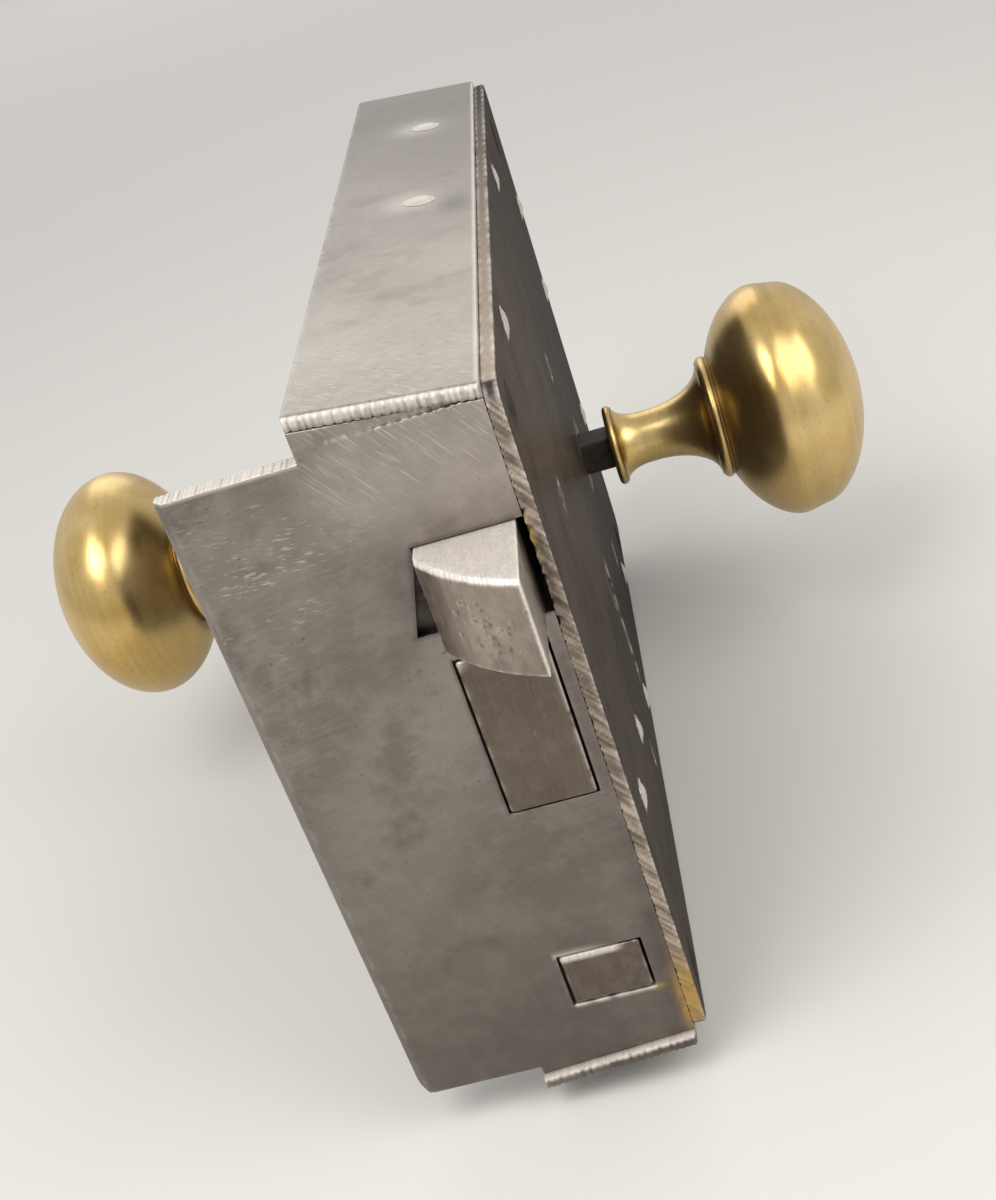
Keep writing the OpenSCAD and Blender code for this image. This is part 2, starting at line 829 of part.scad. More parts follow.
module key_bolt() {
    color(steel) {
        translate([0, bolt_y, 0])
            plate_xz(0, bolt_width)
                rect([front_x - bolt_proud, bolt_low_z], [bolt_root, bolt_top_z]);
        plate_xz(tail_y - tail_t / 2, tail_y + tail_t / 2)
            difference() {
                rect([bolt_root - cut, tail_low_z], [bolt_tail_x, tail_top_z]);
                bolt_stud_slot();
                rect([key_x + (bolt_throw - talon_w) / 2, tail_low_z - cut],
                    [key_x + (bolt_throw + talon_w) / 2, tail_low_z + talon_depth]);
            }
    }
}

// Slot in the bolt's tail that runs on the guide stud
module bolt_stud_slot() {
    w = stud_d + 2 * slide_gap;
    rect([stud_x, stud_z - w / 2], [stud_x + bolt_throw, stud_z + w / 2]);
    for (x = [stud_x, stud_x + bolt_throw])
        translate([x, stud_z])
            circle(d = w);
}

module bolt_stud() {
    y1 = tail_y + tail_t / 2 + slide_gap;
    color(dark_iron) {
        bar_y(stud_x, stud_z, in_y, y1 + lap, stud_d);
        bar_y(stud_x, stud_z, y1, y1 + stud_head_h, stud_head_d);
    }
}

// Strap over a bolt's tail, standing on the main plate; z0 and z1 are the tail's edges
module staple(x, len, z0, z1) {
    y1 = tail_y + tail_t / 2 + slide_gap;
    translate([x, 0, 0])
        plate_yz(0, len)
            difference() {
                rect([in_y, z0 - slide_gap - staple_t], [y1 + staple_t, z1 + slide_gap + staple_t]);
                rect([in_y - cut, z0 - slide_gap], [y1, z1 + slide_gap]);
            }
}

module bolt_staple() {
    color(dark_iron)
        staple(staple_x, staple_len, tail_low_z, tail_top_z);
}

// Bowed leaf on the bolt's upper edge that snaps past the detent stud
module bolt_back_spring() {
    r = (pow(back_spring_chord / 2, 2) + pow(back_spring_rise, 2)) / (2 * back_spring_rise);
    centre = [back_spring_x, tail_top_z + back_spring_rise - r];
    color(spring_steel)
        plate_xz(tail_y - back_spring_w / 2, tail_y + back_spring_w / 2)
            intersection() {
                difference() {
                    translate(centre)
                        circle(r + back_spring_t);
                    translate(centre)
                        circle(r);
                }
                rect([back_spring_x - back_spring_chord, tail_top_z],
                    [back_spring_x + back_spring_chord, tail_top_z + 2 * back_spring_rise]);
            }
}

module detent_stud() {
    color(dark_iron)
        bar_y(detent_x, detent_z, in_y, tail_y + tail_t / 2 + detent_over, detent_d);
}

// Ring ward round the key's path, open where the bit goes in
module ward(y0, y1) {
    plate_xz(y0, y1)
        difference() {
            translate([key_x, key_z])
                circle(ward_r + ward_t);
            translate([key_x, key_z])
                circle(ward_r);
            rect([key_x - keyhole_slot_w, key_z - key_bit_r], [key_x + keyhole_slot_w, key_z]);
        }
}

module plate_ward() {
    color(dark_iron)
        ward(in_y, in_y + ward_h);
}

module cap_ward() {
    color(dark_iron)
        ward(cap_y - ward_h, cap_y);
}

module night_bolt() {
    color(steel)
        difference() {
            union() {
                translate([0, night_y, 0])
                    plate_xz(0, night_width)
                        rect([front_x, night_low_z], [night_root, night_top_z]);
                plate_xz(tail_y - tail_t / 2, tail_y + tail_t / 2)
                    rect([night_root - cut, night_tail_low], [night_tail_x, night_tail_low + night_tail_h]);
            }
            translate([thumb_x, tail_y, night_tail_low - cut])
                cylinder(d = thumb_tenon_d + 2 * seat_gap, h = thumb_tenon + cut + seat_gap);
        }
}

module night_staple() {
    x0 = night_staple_x - staple_len / 2;
    color(dark_iron) {
        staple(x0, staple_len, night_tail_low, night_tail_low + night_tail_h);
        plate_xz(in_y, in_y + staple_foot_t)
            difference() {
                rect([x0, night_rivet_z - staple_foot / 2 - lap],
                    [x0 + staple_len, night_rivet_z + staple_foot / 2]);
                translate(night_rivets[0])
                    circle(d = rivet_hole_d);
            }
    }
}

// Leaf spring: a foot on the main plate and a bowed arm that rubs on the night bolt's tail
module night_spring() {
    arm_from = night_rivets[1] + [night_foot_w / 2, 0];
    arm_to = [night_staple_x - staple_len, night_tail_low + night_tail_h + slide_gap];
    reach = arm_to - arm_from;
    angle = atan2(reach[1], reach[0]);
    color(spring_steel) {
        plate_xz(in_y, in_y + latch_spring_t)
            difference() {
                translate(night_rivets[1])
                    square(night_foot_w, center = true);
                translate(night_rivets[1])
                    circle(d = rivet_hole_d);
            }
        intersection() {
            plate_xz(in_y, tail_y + tail_t / 2)
                translate(arm_from)
                    rotate(angle)
                        rect([-lap, 0], [norm(reach) + cut, night_arm_w]);
            translate([0, in_y, arm_to[1]])
                cube([night_staple_x, case_depth, case_depth]);
        }
    }
}

module thumb_knob() {
    color(brass)
        translate([thumb_x, tail_y, 0]) {
            translate([0, 0, night_tail_low])
                cylinder(d = thumb_tenon_d, h = thumb_tenon);
            translate([0, 0, thumb_top_z])
                cylinder(d = thumb_stem_d, h = night_tail_low - thumb_top_z);
            translate([0, 0, thumb_top_z - thumb_h])
                rotate_extrude()
                    intersection() {
                        union() {
                            rect([0, 0], [(thumb_d - thumb_h) / 2, thumb_h]);
                            translate([(thumb_d - thumb_h) / 2, thumb_h / 2])
                                circle(thumb_h / 2);
                        }
                        square([thumb_d, thumb_h]);
                    }
        }
}

main_plate();
top_plate();
bottom_plate();
rear_plate();
selvedge();
cap_plate();
cap_posts();
cap_screws();
case_rivets();
top_rivets();
latch_bolt();
latch_tail_guide();
latch_spring();
follower();
spindle();
room_knob();
door_knob();
knob_screws();
key_bolt();
bolt_stud();
bolt_staple();
bolt_back_spring();
detent_stud();
plate_ward();
cap_ward();
night_bolt();
night_staple();
night_spring();
thumb_knob();
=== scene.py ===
import bpy
import bmesh
import math
import random
from mathutils import Matrix, Vector, kdtree, noise
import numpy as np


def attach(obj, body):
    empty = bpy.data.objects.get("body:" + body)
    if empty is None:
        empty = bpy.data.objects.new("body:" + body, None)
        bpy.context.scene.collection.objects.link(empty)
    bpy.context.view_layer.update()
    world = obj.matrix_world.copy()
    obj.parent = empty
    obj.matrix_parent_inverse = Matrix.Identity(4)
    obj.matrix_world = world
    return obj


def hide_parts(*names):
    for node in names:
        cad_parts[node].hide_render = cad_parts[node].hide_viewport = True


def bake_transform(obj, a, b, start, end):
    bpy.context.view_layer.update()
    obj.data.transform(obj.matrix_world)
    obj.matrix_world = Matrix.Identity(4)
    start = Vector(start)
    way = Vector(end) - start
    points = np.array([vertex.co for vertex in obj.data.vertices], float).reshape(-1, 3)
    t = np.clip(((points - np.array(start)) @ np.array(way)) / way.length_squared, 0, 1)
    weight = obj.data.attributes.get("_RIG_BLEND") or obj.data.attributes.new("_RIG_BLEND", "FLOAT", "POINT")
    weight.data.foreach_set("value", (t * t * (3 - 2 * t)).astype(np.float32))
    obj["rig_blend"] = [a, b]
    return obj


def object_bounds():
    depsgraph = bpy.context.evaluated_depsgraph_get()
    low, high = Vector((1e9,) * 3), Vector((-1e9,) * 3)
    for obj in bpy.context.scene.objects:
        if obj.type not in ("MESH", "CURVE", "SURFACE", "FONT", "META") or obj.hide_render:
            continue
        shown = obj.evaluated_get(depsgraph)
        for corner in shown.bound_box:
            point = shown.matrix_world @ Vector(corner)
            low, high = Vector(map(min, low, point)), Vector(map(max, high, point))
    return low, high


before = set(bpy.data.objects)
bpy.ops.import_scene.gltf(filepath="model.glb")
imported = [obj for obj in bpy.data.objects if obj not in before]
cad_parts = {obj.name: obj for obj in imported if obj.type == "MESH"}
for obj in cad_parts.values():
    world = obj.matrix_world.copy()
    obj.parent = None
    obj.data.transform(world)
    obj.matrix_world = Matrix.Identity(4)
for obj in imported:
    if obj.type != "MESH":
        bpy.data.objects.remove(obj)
cadBox = [list(corner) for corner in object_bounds()]
scene = bpy.context.scene
mm = 0.001  # the scene is in metres, the sizes below are in millimetres
print("frame loaded:", len(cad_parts), "nodes")


def hexColour(code):  # sRGB hex to linear
    parts = [int(code[i:i + 2], 16) / 255 for i in (1, 3, 5)]
    return [c / 12.92 if c <= 0.04045 else ((c + 0.055) / 1.055) ** 2.4 for c in parts] + [1]


def addNode(tree, kind, settings={}, inputs={}):  # an input is a socket to link or a value to set
    node = tree.nodes.new(kind)
    for key, value in settings.items():
        setattr(node, key, value)
    for key, value in inputs.items():
        if isinstance(value, bpy.types.NodeSocket):
            tree.links.new(value, node.inputs[key])
        else:
            node.inputs[key].default_value = value
    return node


# what the pieces carry at their points: rubbed edges, bright filing and painted light, file scratches, short chatter
# marks, dulled areas and painted shade, soot in the corners, painted shade in the gaps, and brass left by the
# brazing
wearLayers = ("edge", "filed", "scored", "chatter", "dull", "soot", "braze")


def steelFinish(name, look):  # one recipe for all filed and worn iron, each piece with its own look
    mat = bpy.data.materials.new(name)
    mat.use_nodes = True
    tree = mat.node_tree
    shader = tree.nodes["Principled BSDF"]
    place = addNode(tree, "ShaderNodeTexCoord").outputs["Object"]
    inMm = addNode(tree, "ShaderNodeVectorMath", {"operation": "SCALE"}, {0: place, "Scale": 1 / mm}).outputs[0]
    worn = {layer: addNode(tree, "ShaderNodeAttribute", {"attribute_name": layer}).outputs["Fac"]
            for layer in wearLayers}
    pattern = {}
    for key, detail, rough in (("cloud", 2, 0.5), ("blot", 4, 0.6), ("mottle", 6, 0.65), ("speck", 2, 0.5)):
        pattern[key] = addNode(tree, "ShaderNodeTexNoise", {}, {
            "Vector": inMm, "Scale": 1 / look[key], "Detail": detail, "Roughness": rough}).outputs["Fac"]
    for key in ("lines", "scratch", "dash"):  # drawn out along the way the file went
        size, turn = look[key]
        spot = addNode(tree, "ShaderNodeMapping", {"vector_type": "TEXTURE"}, {
            "Vector": inMm, "Rotation": [math.radians(a) for a in turn], "Scale": size}).outputs[0]
        pattern[key] = addNode(tree, "ShaderNodeTexNoise", {}, {
            "Vector": spot, "Scale": 1, "Detail": 2, "Roughness": 0.5}).outputs["Fac"]
    layers = [  # colour, pattern, where it starts and is full, share at each end, wear layer
        ("mid", "cloud", 0.34, 0.66, 0, 1, None),
        ("pale", "mottle", 0.4, 0.72, 0, look["paleShare"], None),
        ("stain", "blot", 0.52, 0.72, 0, look["stainShare"], None),
        ("rust", "mottle", 0.6, 0.8, 0, look["rustShare"], None),
        ("pale", "lines", 0.42, 0.75, 0, look["lineShare"], None),
        ("stain", "speck", 0.68, 0.76, 0, look["speckShare"], None),
        ("bright", "dash", 0.74, 0.79, 0, look["strayShare"], None),
        ("dull", "mottle", 0.3, 0.7, 1, 0.8, "dull"),
        ("bright", "scratch", 0.54, 0.74, 0, 0.6, "scored"),
        ("bright", "dash", 0.57, 0.68, 0, 0.5, "chatter"),
        ("filed", "lines", 0.3, 0.7, 1, 0.78, "filed"),
        ("bright", "mottle", 0.36, 0.58, 0, look["edgeShare"], "edge"),
        ("soot", "mottle", 0.3, 0.6, 1, 0.75, "soot"),
        ("braze", "mottle", 0.25, 0.45, 0, 1, "braze"),
    ]
    tone = hexColour(look["deep"])
    amounts = {}
    for colour, key, low, high, least, most, layer in layers:
        amount = addNode(tree, "ShaderNodeMapRange", {"interpolation_type": "SMOOTHSTEP"}, {
            "Value": pattern[key], "From Min": low, "From Max": high, "To Min": least, "To Max": most}).outputs[0]
        if layer:
            amount = addNode(tree, "ShaderNodeMath", {"operation": "MULTIPLY"}, {
                0: amount, 1: worn[layer]}).outputs[0]
        tone = addNode(tree, "ShaderNodeMix", {"data_type": "RGBA"}, {
            0: amount, 6: tone, 7: hexColour(look[colour])}).outputs[2]
        amounts[layer or key] = amount
    gloss = addNode(tree, "ShaderNodeMapRange", {}, {
        "Value": pattern["mottle"], "From Min": 0.3, "From Max": 0.7, "To Min": look["rough"][0],
        "To Max": look["rough"][1]}).outputs[0]
    gloss = addNode(tree, "ShaderNodeMath", {"operation": "MULTIPLY_ADD"}, {
        0: amounts["filed"], 1: look["filedRough"], 2: gloss}).outputs[0]
    metal = addNode(tree, "ShaderNodeMath", {"operation": "MULTIPLY_ADD"}, {  # file grooves scatter light all ways
        0: amounts["filed"], 1: -look["scatter"] * look["metallic"], 2: look["metallic"]}).outputs[0]
    height = pattern["mottle"]
    for socket, depth in ((pattern["lines"], 0.7), (amounts["scored"], -0.8), (amounts["chatter"], -1.2),
                          (amounts["speck"], -1.5)):  # depths against the mottle's own height
        height = addNode(tree, "ShaderNodeMath", {"operation": "MULTIPLY_ADD"}, {
            0: socket, 1: depth, 2: height}).outputs[0]
    bump = addNode(tree, "ShaderNodeBump", {}, {"Height": height, "Distance": look["relief"] * mm, "Strength": 1})
    tree.links.new(tone, shader.inputs["Base Color"])
    tree.links.new(gloss, shader.inputs["Roughness"])
    tree.links.new(bump.outputs[0], shader.inputs["Normal"])
    tree.links.new(metal, shader.inputs["Metallic"])
    shader.inputs["Specular IOR Level"].default_value = look["specular"]
    return mat


# sheet iron, hand filed and left bare: soft brown-grey clouds, faint file lines, rubbed edges, a few dark pits
plateLook = {
    "deep": "#7d7670", "mid": "#938b84", "pale": "#aca39b", "stain": "#57514b", "rust": "#83664f",
    "dull": "#655e58", "bright": "#e6dfd6", "filed": "#d9d0c6", "soot": "#231e1a", "braze": "#c7a35c",
    "cloud": 34, "blot": 13, "mottle": 6, "speck": 1.1,  # mm
    # file lines are nearer 0.2 mm apart, drawn coarser so that they show; mm along x, y and z, then the turn
    "lines": ((9, 0.5, 0.5), (0, 0, 0)), "scratch": ((11, 0.4, 0.4), (0, 0, 30)),
    "dash": ((4, 0.5, 0.5), (0, 0, 10)),
    "paleShare": 0.45, "lineShare": 0.18, "stainShare": 0.5, "rustShare": 0.35, "speckShare": 0.4,
    "strayShare": 0.12, "edgeShare": 0.4, "rough": (0.36, 0.5), "filedRough": 0.15, "relief": 0.025,
    "metallic": 1, "scatter": 0.65, "specular": 0.5,
}
selvedgeLook = dict(plateLook, edgeShare=0.15, relief=0.035, speckShare=0.5, lines=((0.5, 8, 0.5), (-10, 0, 0)),
                    scratch=((0.26, 5.5, 0.26), (54, 0, 0)), dash=((0.3, 1.9, 0.3), (4, 0, 0)))
# the same sheet in painted light: a pale grey-white lit copy, with long slanting lines scoured by grit, and painted
# shade only at the far end
topLitLook = dict(plateLook, deep="#9f978d", mid="#afa89d", pale="#c5bfb5", stain="#7f776d", rust="#8f8174",
               dull="#635b53", lines=((0.5, 7, 0.5), (0, 0, 38)), scratch=((0.35, 6, 0.35), (0, 0, -35)),
               dash=((0.35, 4, 0.35), (0, 0, 55)), filed="#d8d1c7", bright="#ebe6de", rough=(0.38, 0.5))
# the same sheet in painted shade: a brown-black shaded copy, even, with next to no mirror in it
mainShadedLook = dict(plateLook, deep="#3d3631", mid="#4a423c", pale="#5c534c", stain="#2e2824", rust="#5b4330",
                dull="#2f2a27", filed="#c6b6a4", braze="#b08e50", lines=((12, 0.5, 0.5), (0, 24, 0)),
                dash=((5, 0.4, 0.4), (0, -30, 0)), rough=(0.24, 0.36), edgeShare=0.7, metallic=0.15, specular=0)
# bar iron, rubbed smooth in its guides: darker brown-grey, fine upright lines, bright corners
boltLook = dict(plateLook, deep="#645b53", mid="#71675e", pale="#877b70", stain="#4f4740", cloud=12, blot=6,
                mottle=3, lines=((0.4, 0.4, 8), (0, 0, 0)), dash=((0.35, 0.35, 3), (8, 0, 0)), strayShare=0.3,
                edgeShare=0.7, rough=(0.3, 0.42))
# bar iron, filed bright: the palest of the iron, nearly white where the file went last and, as painted light, on the
# top
latchLook = dict(plateLook, deep="#978b81", mid="#a89c91", pale="#beb2a7", cloud=10, blot=6, mottle=2.5,
                 lines=((0.4, 0.4, 7), (0, 0, 0)), dash=((3, 0.3, 0.3), (0, 0, -30)), filed="#ece5dc",
                 bright="#f1ece5", strayShare=0.1, edgeShare=0.75, rough=(0.3, 0.42))
# wrought iron, forged and never cleaned up: near black, dull, rust in the low spots
ironLook = dict(plateLook, deep="#3a332d", mid="#49413a", pale="#635950", stain="#2b2521", rust="#634430",
                dull="#27221e", bright="#8d857d", cloud=11, blot=7, mottle=2.5, speck=0.7, rustShare=0.5,
                rough=(0.46, 0.64), relief=0.05)
# spring steel, hardened and tempered: slate blue-grey with straw patches, smoother than the iron round it
springLook = dict(ironLook, deep="#3a3d44", mid="#4b4e55", pale="#6a6c70", stain="#5b4d38", rustShare=0.2,
                  rough=(0.28, 0.42), relief=0.02)
plateSteel = steelFinish("SheetIronFiled", plateLook)
selvedgeSteel = steelFinish("SheetIronFiledSelvedge", selvedgeLook)
topLitSteel = steelFinish("SheetIronPaintedLit", topLitLook)
mainShadedSteel = steelFinish("SheetIronPaintedShade", mainShadedLook)
boltSteel = steelFinish("BarIronPolished", boltLook)
latchSteel = steelFinish("BarIronFiledBright", latchLook)
darkIron = steelFinish("WroughtIronForged", ironLook)
springSteel = steelFinish("SpringSteelTempered", springLook)

# cast brass, turned and hand worn: pale old gold, faint lathe rings, brown tarnish kept in the hollows, and the same
# brown as painted shade on the knobs' undersides
brassLook = {
    "deep": "#c2a05c", "mid": "#dcc084", "pale": "#efdcae", "tarnishAndShade": "#5f4722",
    "cloud": 18, "ring": 0.8, "speck": 1.2,  # mm; turned rings are nearer 0.2 mm apart, coarsened to show
    "ringRun": 60,  # mm across the knob before a ring changes
    "ringShare": 0.16, "speckShare": 0.22, "tarnishAndShadeShare": 0.8, "rough": (0.26, 0.36), "relief": 0.01,
}
brass = bpy.data.materials.new("BrassTurnedTarnished")
brass.use_nodes = True
tree = brass.node_tree
shader = tree.nodes["Principled BSDF"]
place = addNode(tree, "ShaderNodeTexCoord").outputs["Object"]
inMm = addNode(tree, "ShaderNodeVectorMath", {"operation": "SCALE"}, {0: place, "Scale": 1 / mm}).outputs[0]
ringSpot = addNode(tree, "ShaderNodeMapping", {"vector_type": "TEXTURE"}, {
    "Vector": inMm, "Scale": (brassLook["ringRun"], brassLook["ring"], brassLook["ringRun"])}).outputs[0]
clouds = addNode(tree, "ShaderNodeTexNoise", {}, {
    "Vector": inMm, "Scale": 1 / brassLook["cloud"], "Detail": 3}).outputs["Fac"]
speck = addNode(tree, "ShaderNodeTexNoise", {}, {
    "Vector": inMm, "Scale": 1 / brassLook["speck"], "Detail": 3}).outputs["Fac"]
rings = addNode(tree, "ShaderNodeTexNoise", {}, {"Vector": ringSpot, "Scale": 1, "Detail": 2}).outputs["Fac"]
# the hollow attribute: tarnish kept in the hollows, and painted shade on the undersides of the knobs
hollow = addNode(tree, "ShaderNodeAttribute", {"attribute_name": "hollow"}).outputs["Fac"]
tone = hexColour(brassLook["deep"])
for colour, value, low, high, share in (  # colour, pattern, where it starts and is full, share
        ("mid", clouds, 0.3, 0.62, 1), ("pale", rings, 0.45, 0.75, brassLook["ringShare"]),
        ("tarnishAndShade", hollow, 0, 1, brassLook["tarnishAndShadeShare"]),
        ("tarnishAndShade", speck, 0.6, 0.75, brassLook["speckShare"])):
    amount = addNode(tree, "ShaderNodeMapRange", {}, {
        "Value": value, "From Min": low, "From Max": high, "To Max": share}).outputs[0]
    tone = addNode(tree, "ShaderNodeMix", {"data_type": "RGBA"}, {
        0: amount, 6: tone, 7: hexColour(brassLook[colour])}).outputs[2]
gloss = addNode(tree, "ShaderNodeMapRange", {}, {
    "Value": clouds, "From Min": 0.3, "From Max": 0.7, "To Min": brassLook["rough"][0],
    "To Max": brassLook["rough"][1]}).outputs[0]
height = addNode(tree, "ShaderNodeMath", {"operation": "MULTIPLY_ADD"}, {0: speck, 1: 0.4, 2: rings}).outputs[0]
bump = addNode(tree, "ShaderNodeBump", {}, {
    "Height": height, "Distance": brassLook["relief"] * mm, "Strength": 1})
tree.links.new(tone, shader.inputs["Base Color"])
tree.links.new(gloss, shader.inputs["Roughness"])
tree.links.new(bump.outputs[0], shader.inputs["Normal"])
shader.inputs["Metallic"].default_value = 1
print("finishes ready")

meshWork = {
    "weld": 0.002, "flatAngle": 0.6,  # mm and degrees, to make flat faces whole again
    "sharpAngle": 32, "crispAngle": 60,  # degrees: edges that get rubbed, and edges shaded crisp
    "rubWidth": 0.35, "longEdge": 3,  # mm
}


def bell(at, centre, width):
    return math.exp(-((at - centre) / width) ** 2)


def ramp(at, low, high):  # 0 at low, 1 at high
    return max(0, min(1, (at - low) / (high - low)))


def cadShape(node):  # the node's solid with its flat faces whole again
    bm = bmesh.new()
    bm.from_mesh(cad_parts[node].data)
    bmesh.ops.remove_doubles(bm, verts=bm.verts, dist=meshWork["weld"] * mm)
    bmesh.ops.dissolve_limit(bm, angle_limit=math.radians(meshWork["flatAngle"]), verts=bm.verts, edges=bm.edges)
    return bm


def sharpEdges(bm, angle=meshWork["sharpAngle"]):
    return [e for e in bm.edges if len(e.link_faces) == 2 and e.is_convex
            and e.calc_face_angle(0) > math.radians(angle)]


def cutAcross(bm, axis, places, near=None):  # near picks the faces that are cut, by their middle in mm
    normal = Vector([1 if k == axis else 0 for k in range(3)])

    def halve(faces, spots):
        if not faces or not spots:
            return
        middle = len(spots) // 2
        geom = dict.fromkeys(faces)  # no doubles, and in a fixed order
        for f in faces:
            geom.update(dict.fromkeys(f.verts))
            geom.update(dict.fromkeys(f.edges))
        cut = bmesh.ops.bisect_plane(bm, geom=list(geom), dist=1e-7, plane_co=normal * spots[middle],
                                     plane_no=normal)
        parts = [g for g in cut["geom"] if isinstance(g, bmesh.types.BMFace)]
        halve([f for f in parts if f.calc_center_median()[axis] < spots[middle]], spots[:middle])
        halve([f for f in parts if f.calc_center_median()[axis] >= spots[middle]], spots[middle + 1:])

    halve([f for f in bm.faces if near is None or near(*(f.calc_center_median() / mm))], sorted(places))


def steps(low, high, step):  # mm in, m out
    count = max(1, round((high - low) / step))
    return [(low + (high - low) * k / count) * mm for k in range(1, count)]


def addWear(bm, marks):
    for layer in wearLayers:
        bm.verts.layers.float.new(layer)
    if marks:
        tree = kdtree.KDTree(len(marks))
        for k, spot in enumerate(marks):
            tree.insert(spot, k)
        tree.balance()
        edge = bm.verts.layers.float["edge"]
        for v in bm.verts:
            v[edge] = bell(tree.find(v.co)[2], 0, meshWork["rubWidth"] * mm)


def alongEdges(edges):  # points on the edges, a millimetre or less apart
    marks = []
    for e in edges:
        a, b = e.verts[0].co, e.verts[1].co
        count = int((b - a).length / mm) + 1
        marks += [a.lerp(b, k / count) for k in range(count + 1)]
    return marks


# a node's solid with softened edges, cut into a grid that can take the wear, with extra cuts beside its long
# edges; all in mm, and skip leaves edges as they are
def wearCopy(node, soft=0.25, grid=(0, 0, 0), support=0.9, skip=None):
    bm = cadShape(node)
    edges = [e for e in sharpEdges(bm) if not (skip and skip(e))]
    marks = alongEdges(edges)
    longOnes = [e for e in edges if e.calc_length() > meshWork["longEdge"] * mm]
    lines = [sorted({v.co[axis] for e in longOnes for v in e.verts}) for axis in range(3)]
    if soft:
        bmesh.ops.bevel(bm, geom=edges, offset=soft * mm, offset_type="OFFSET", segments=2, profile=0.5,
                        affect="EDGES", clamp_overlap=False, miter_outer="ARC")
    for axis in range(3):
        low, high = min(v.co[axis] for v in bm.verts), max(v.co[axis] for v in bm.verts)
        places = steps(low / mm, high / mm, grid[axis]) if grid[axis] else []
        if support:
            places += [line + side * support * mm for line in lines[axis] for side in (-1, 1)]
        cutAcross(bm, axis, {p for p in places if low < p < high})
    addWear(bm, marks)
    return bm


def brush(bm, layer, amount):  # amount gives 0 to 1 at a place in mm
    layer = bm.verts.layers.float[layer]
    for v in bm.verts:
        v[layer] = max(v[layer], min(1, amount(*(v.co / mm))))


def uneven(bm, wave, where=None):  # slow waves filed into a face, in mm
    bm.normal_update()
    shift = Vector((17.3, 5.1, 9.7)) * wave["seed"]
    moves = []
    for v in bm.verts:
        share = where(*(v.co / mm)) if where else 1
        if share:
            depth = (noise.noise(v.co / (wave["size"] * mm) + shift) - 1) / 2
            moves.append((v, v.normal * depth * wave["depth"] * share * mm))
    for v, move in moves:
        v.co += move


def fileNicks(bm, settings, where, along):  # cuts across an edge, at seeded places along it; mark darkens them
    rng = random.Random(settings["seed"])
    spot, nicks = settings["from"], []
    while spot < settings["to"]:
        nicks.append((spot, rng.uniform(*settings["width"]), rng.uniform(*settings["depth"])))
        spot += rng.uniform(*settings["apart"])
    bm.normal_update()
    soot = bm.verts.layers.float["soot"]
    moves = []
    for v in bm.verts:
        share = where(*(v.co / mm))
        if share > 0:
            at = along(*(v.co / mm))
            drop = sum(d * bell(at, s, w) for s, w, d in nicks if abs(at - s) < 3 * w)
            moves.append((v, -v.normal * drop * share * mm))
            v[soot] = max(v[soot], settings["mark"] * share * min(1, drop / settings["depth"][1]))
    for v, move in moves:
        v.co += move


def makePiece(bm, name, nodes, body, mat):
    mesh = bpy.data.meshes.new(name)
    bmesh.ops.recalc_face_normals(bm, faces=bm.faces)
    for f in bm.faces:
        f.smooth = True
    for e in bm.edges:
        e.smooth = len(e.link_faces) == 2 and e.calc_face_angle(0) < math.radians(meshWork["crispAngle"])
    bm.to_mesh(mesh)
    bm.free()
    mesh.materials.append(mat)
    piece = bpy.data.objects.new(name, mesh)
    scene.collection.objects.link(piece)
    even = piece.modifiers.new("EvenShading", "WEIGHTED_NORMAL")
    even.keep_sharp = True
    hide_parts(*nodes)
    if body:
        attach(piece, body)
    return piece


# selvedge, the front plate with its lip; x is its thickness, y runs across it and z up, all in mm
# lipFine and the like are from, to and step of a closer mesh, where the file marks go
selvedge = {
    "soft": 0.22, "grid": 1.2, "wave": {"size": 12, "depth": 0.06, "seed": 1},
    "lipFine": (0, 23, 0.2), "ridgeFine": (-29, -5, 0.3), "reliefFine": (-13, -6, 0.5), "reliefTall": (7, 25),
    "lipTop": 42, "ridgeZ": 44, "ridgeBeat": 3.6,
    "lipNicks": {"seed": 4, "from": 0, "to": 23, "apart": (0.5, 1.1), "width": (0.12, 0.22),
                 "depth": (0.08, 0.26), "mark": 0.35},
    "ridgeNicks": {"seed": 9, "from": -29, "to": -5, "apart": (0.9, 1.9), "width": (0.2, 0.4),
                   "depth": (0.15, 0.5), "mark": 0.1},
    "relief": ((-11.9, -7.2), (8, 24.2)),  # the hollow filed beside the latch, y then z
    "reliefCorner": (-11.4, 8.6), "reliefSides": (3.9, 13.9), "reliefX": -3.4,
    "jointEdge": -28.9, "braze": (-28.8, -78), "brazeDrop": (-25.6, -72.4),
    "latchTop": 24.1, "latchSides": (-28, -11.5), "keySide": -11.2, "keyTall": (-28.6, 3.2),
    "night": ((-25.1, -9.9), (-72.3, -60.6)),  # the night bolt's opening, y then z
}


def leftCrisp(e):  # the hollow's edges and the brazed joint with the main plate
    (y0, y1), (z0, z1) = selvedge["relief"]
    return all(y0 < v.co.y / mm < y1 and z0 < v.co.z / mm < z1 or v.co.y / mm < selvedge["jointEdge"]
               for v in e.verts)


def hollowShade(x, y, z):  # painted shade inside the hollow, smudged just outside it
    (y0, y1), (z0, z1) = selvedge["relief"]
    if not (y0 < y < y1 + 1 and z0 - 1 < z < z1):
        return 0
    corner, sides = selvedge["reliefCorner"], selvedge["reliefSides"]
    past = max((y - corner[0]) / sides[0] + (z - corner[1]) / sides[1] - 1, (corner[1] - z) / 3, 0)
    return 1 if x > selvedge["reliefX"] else 0.6 * bell(past, 0, 0.2)


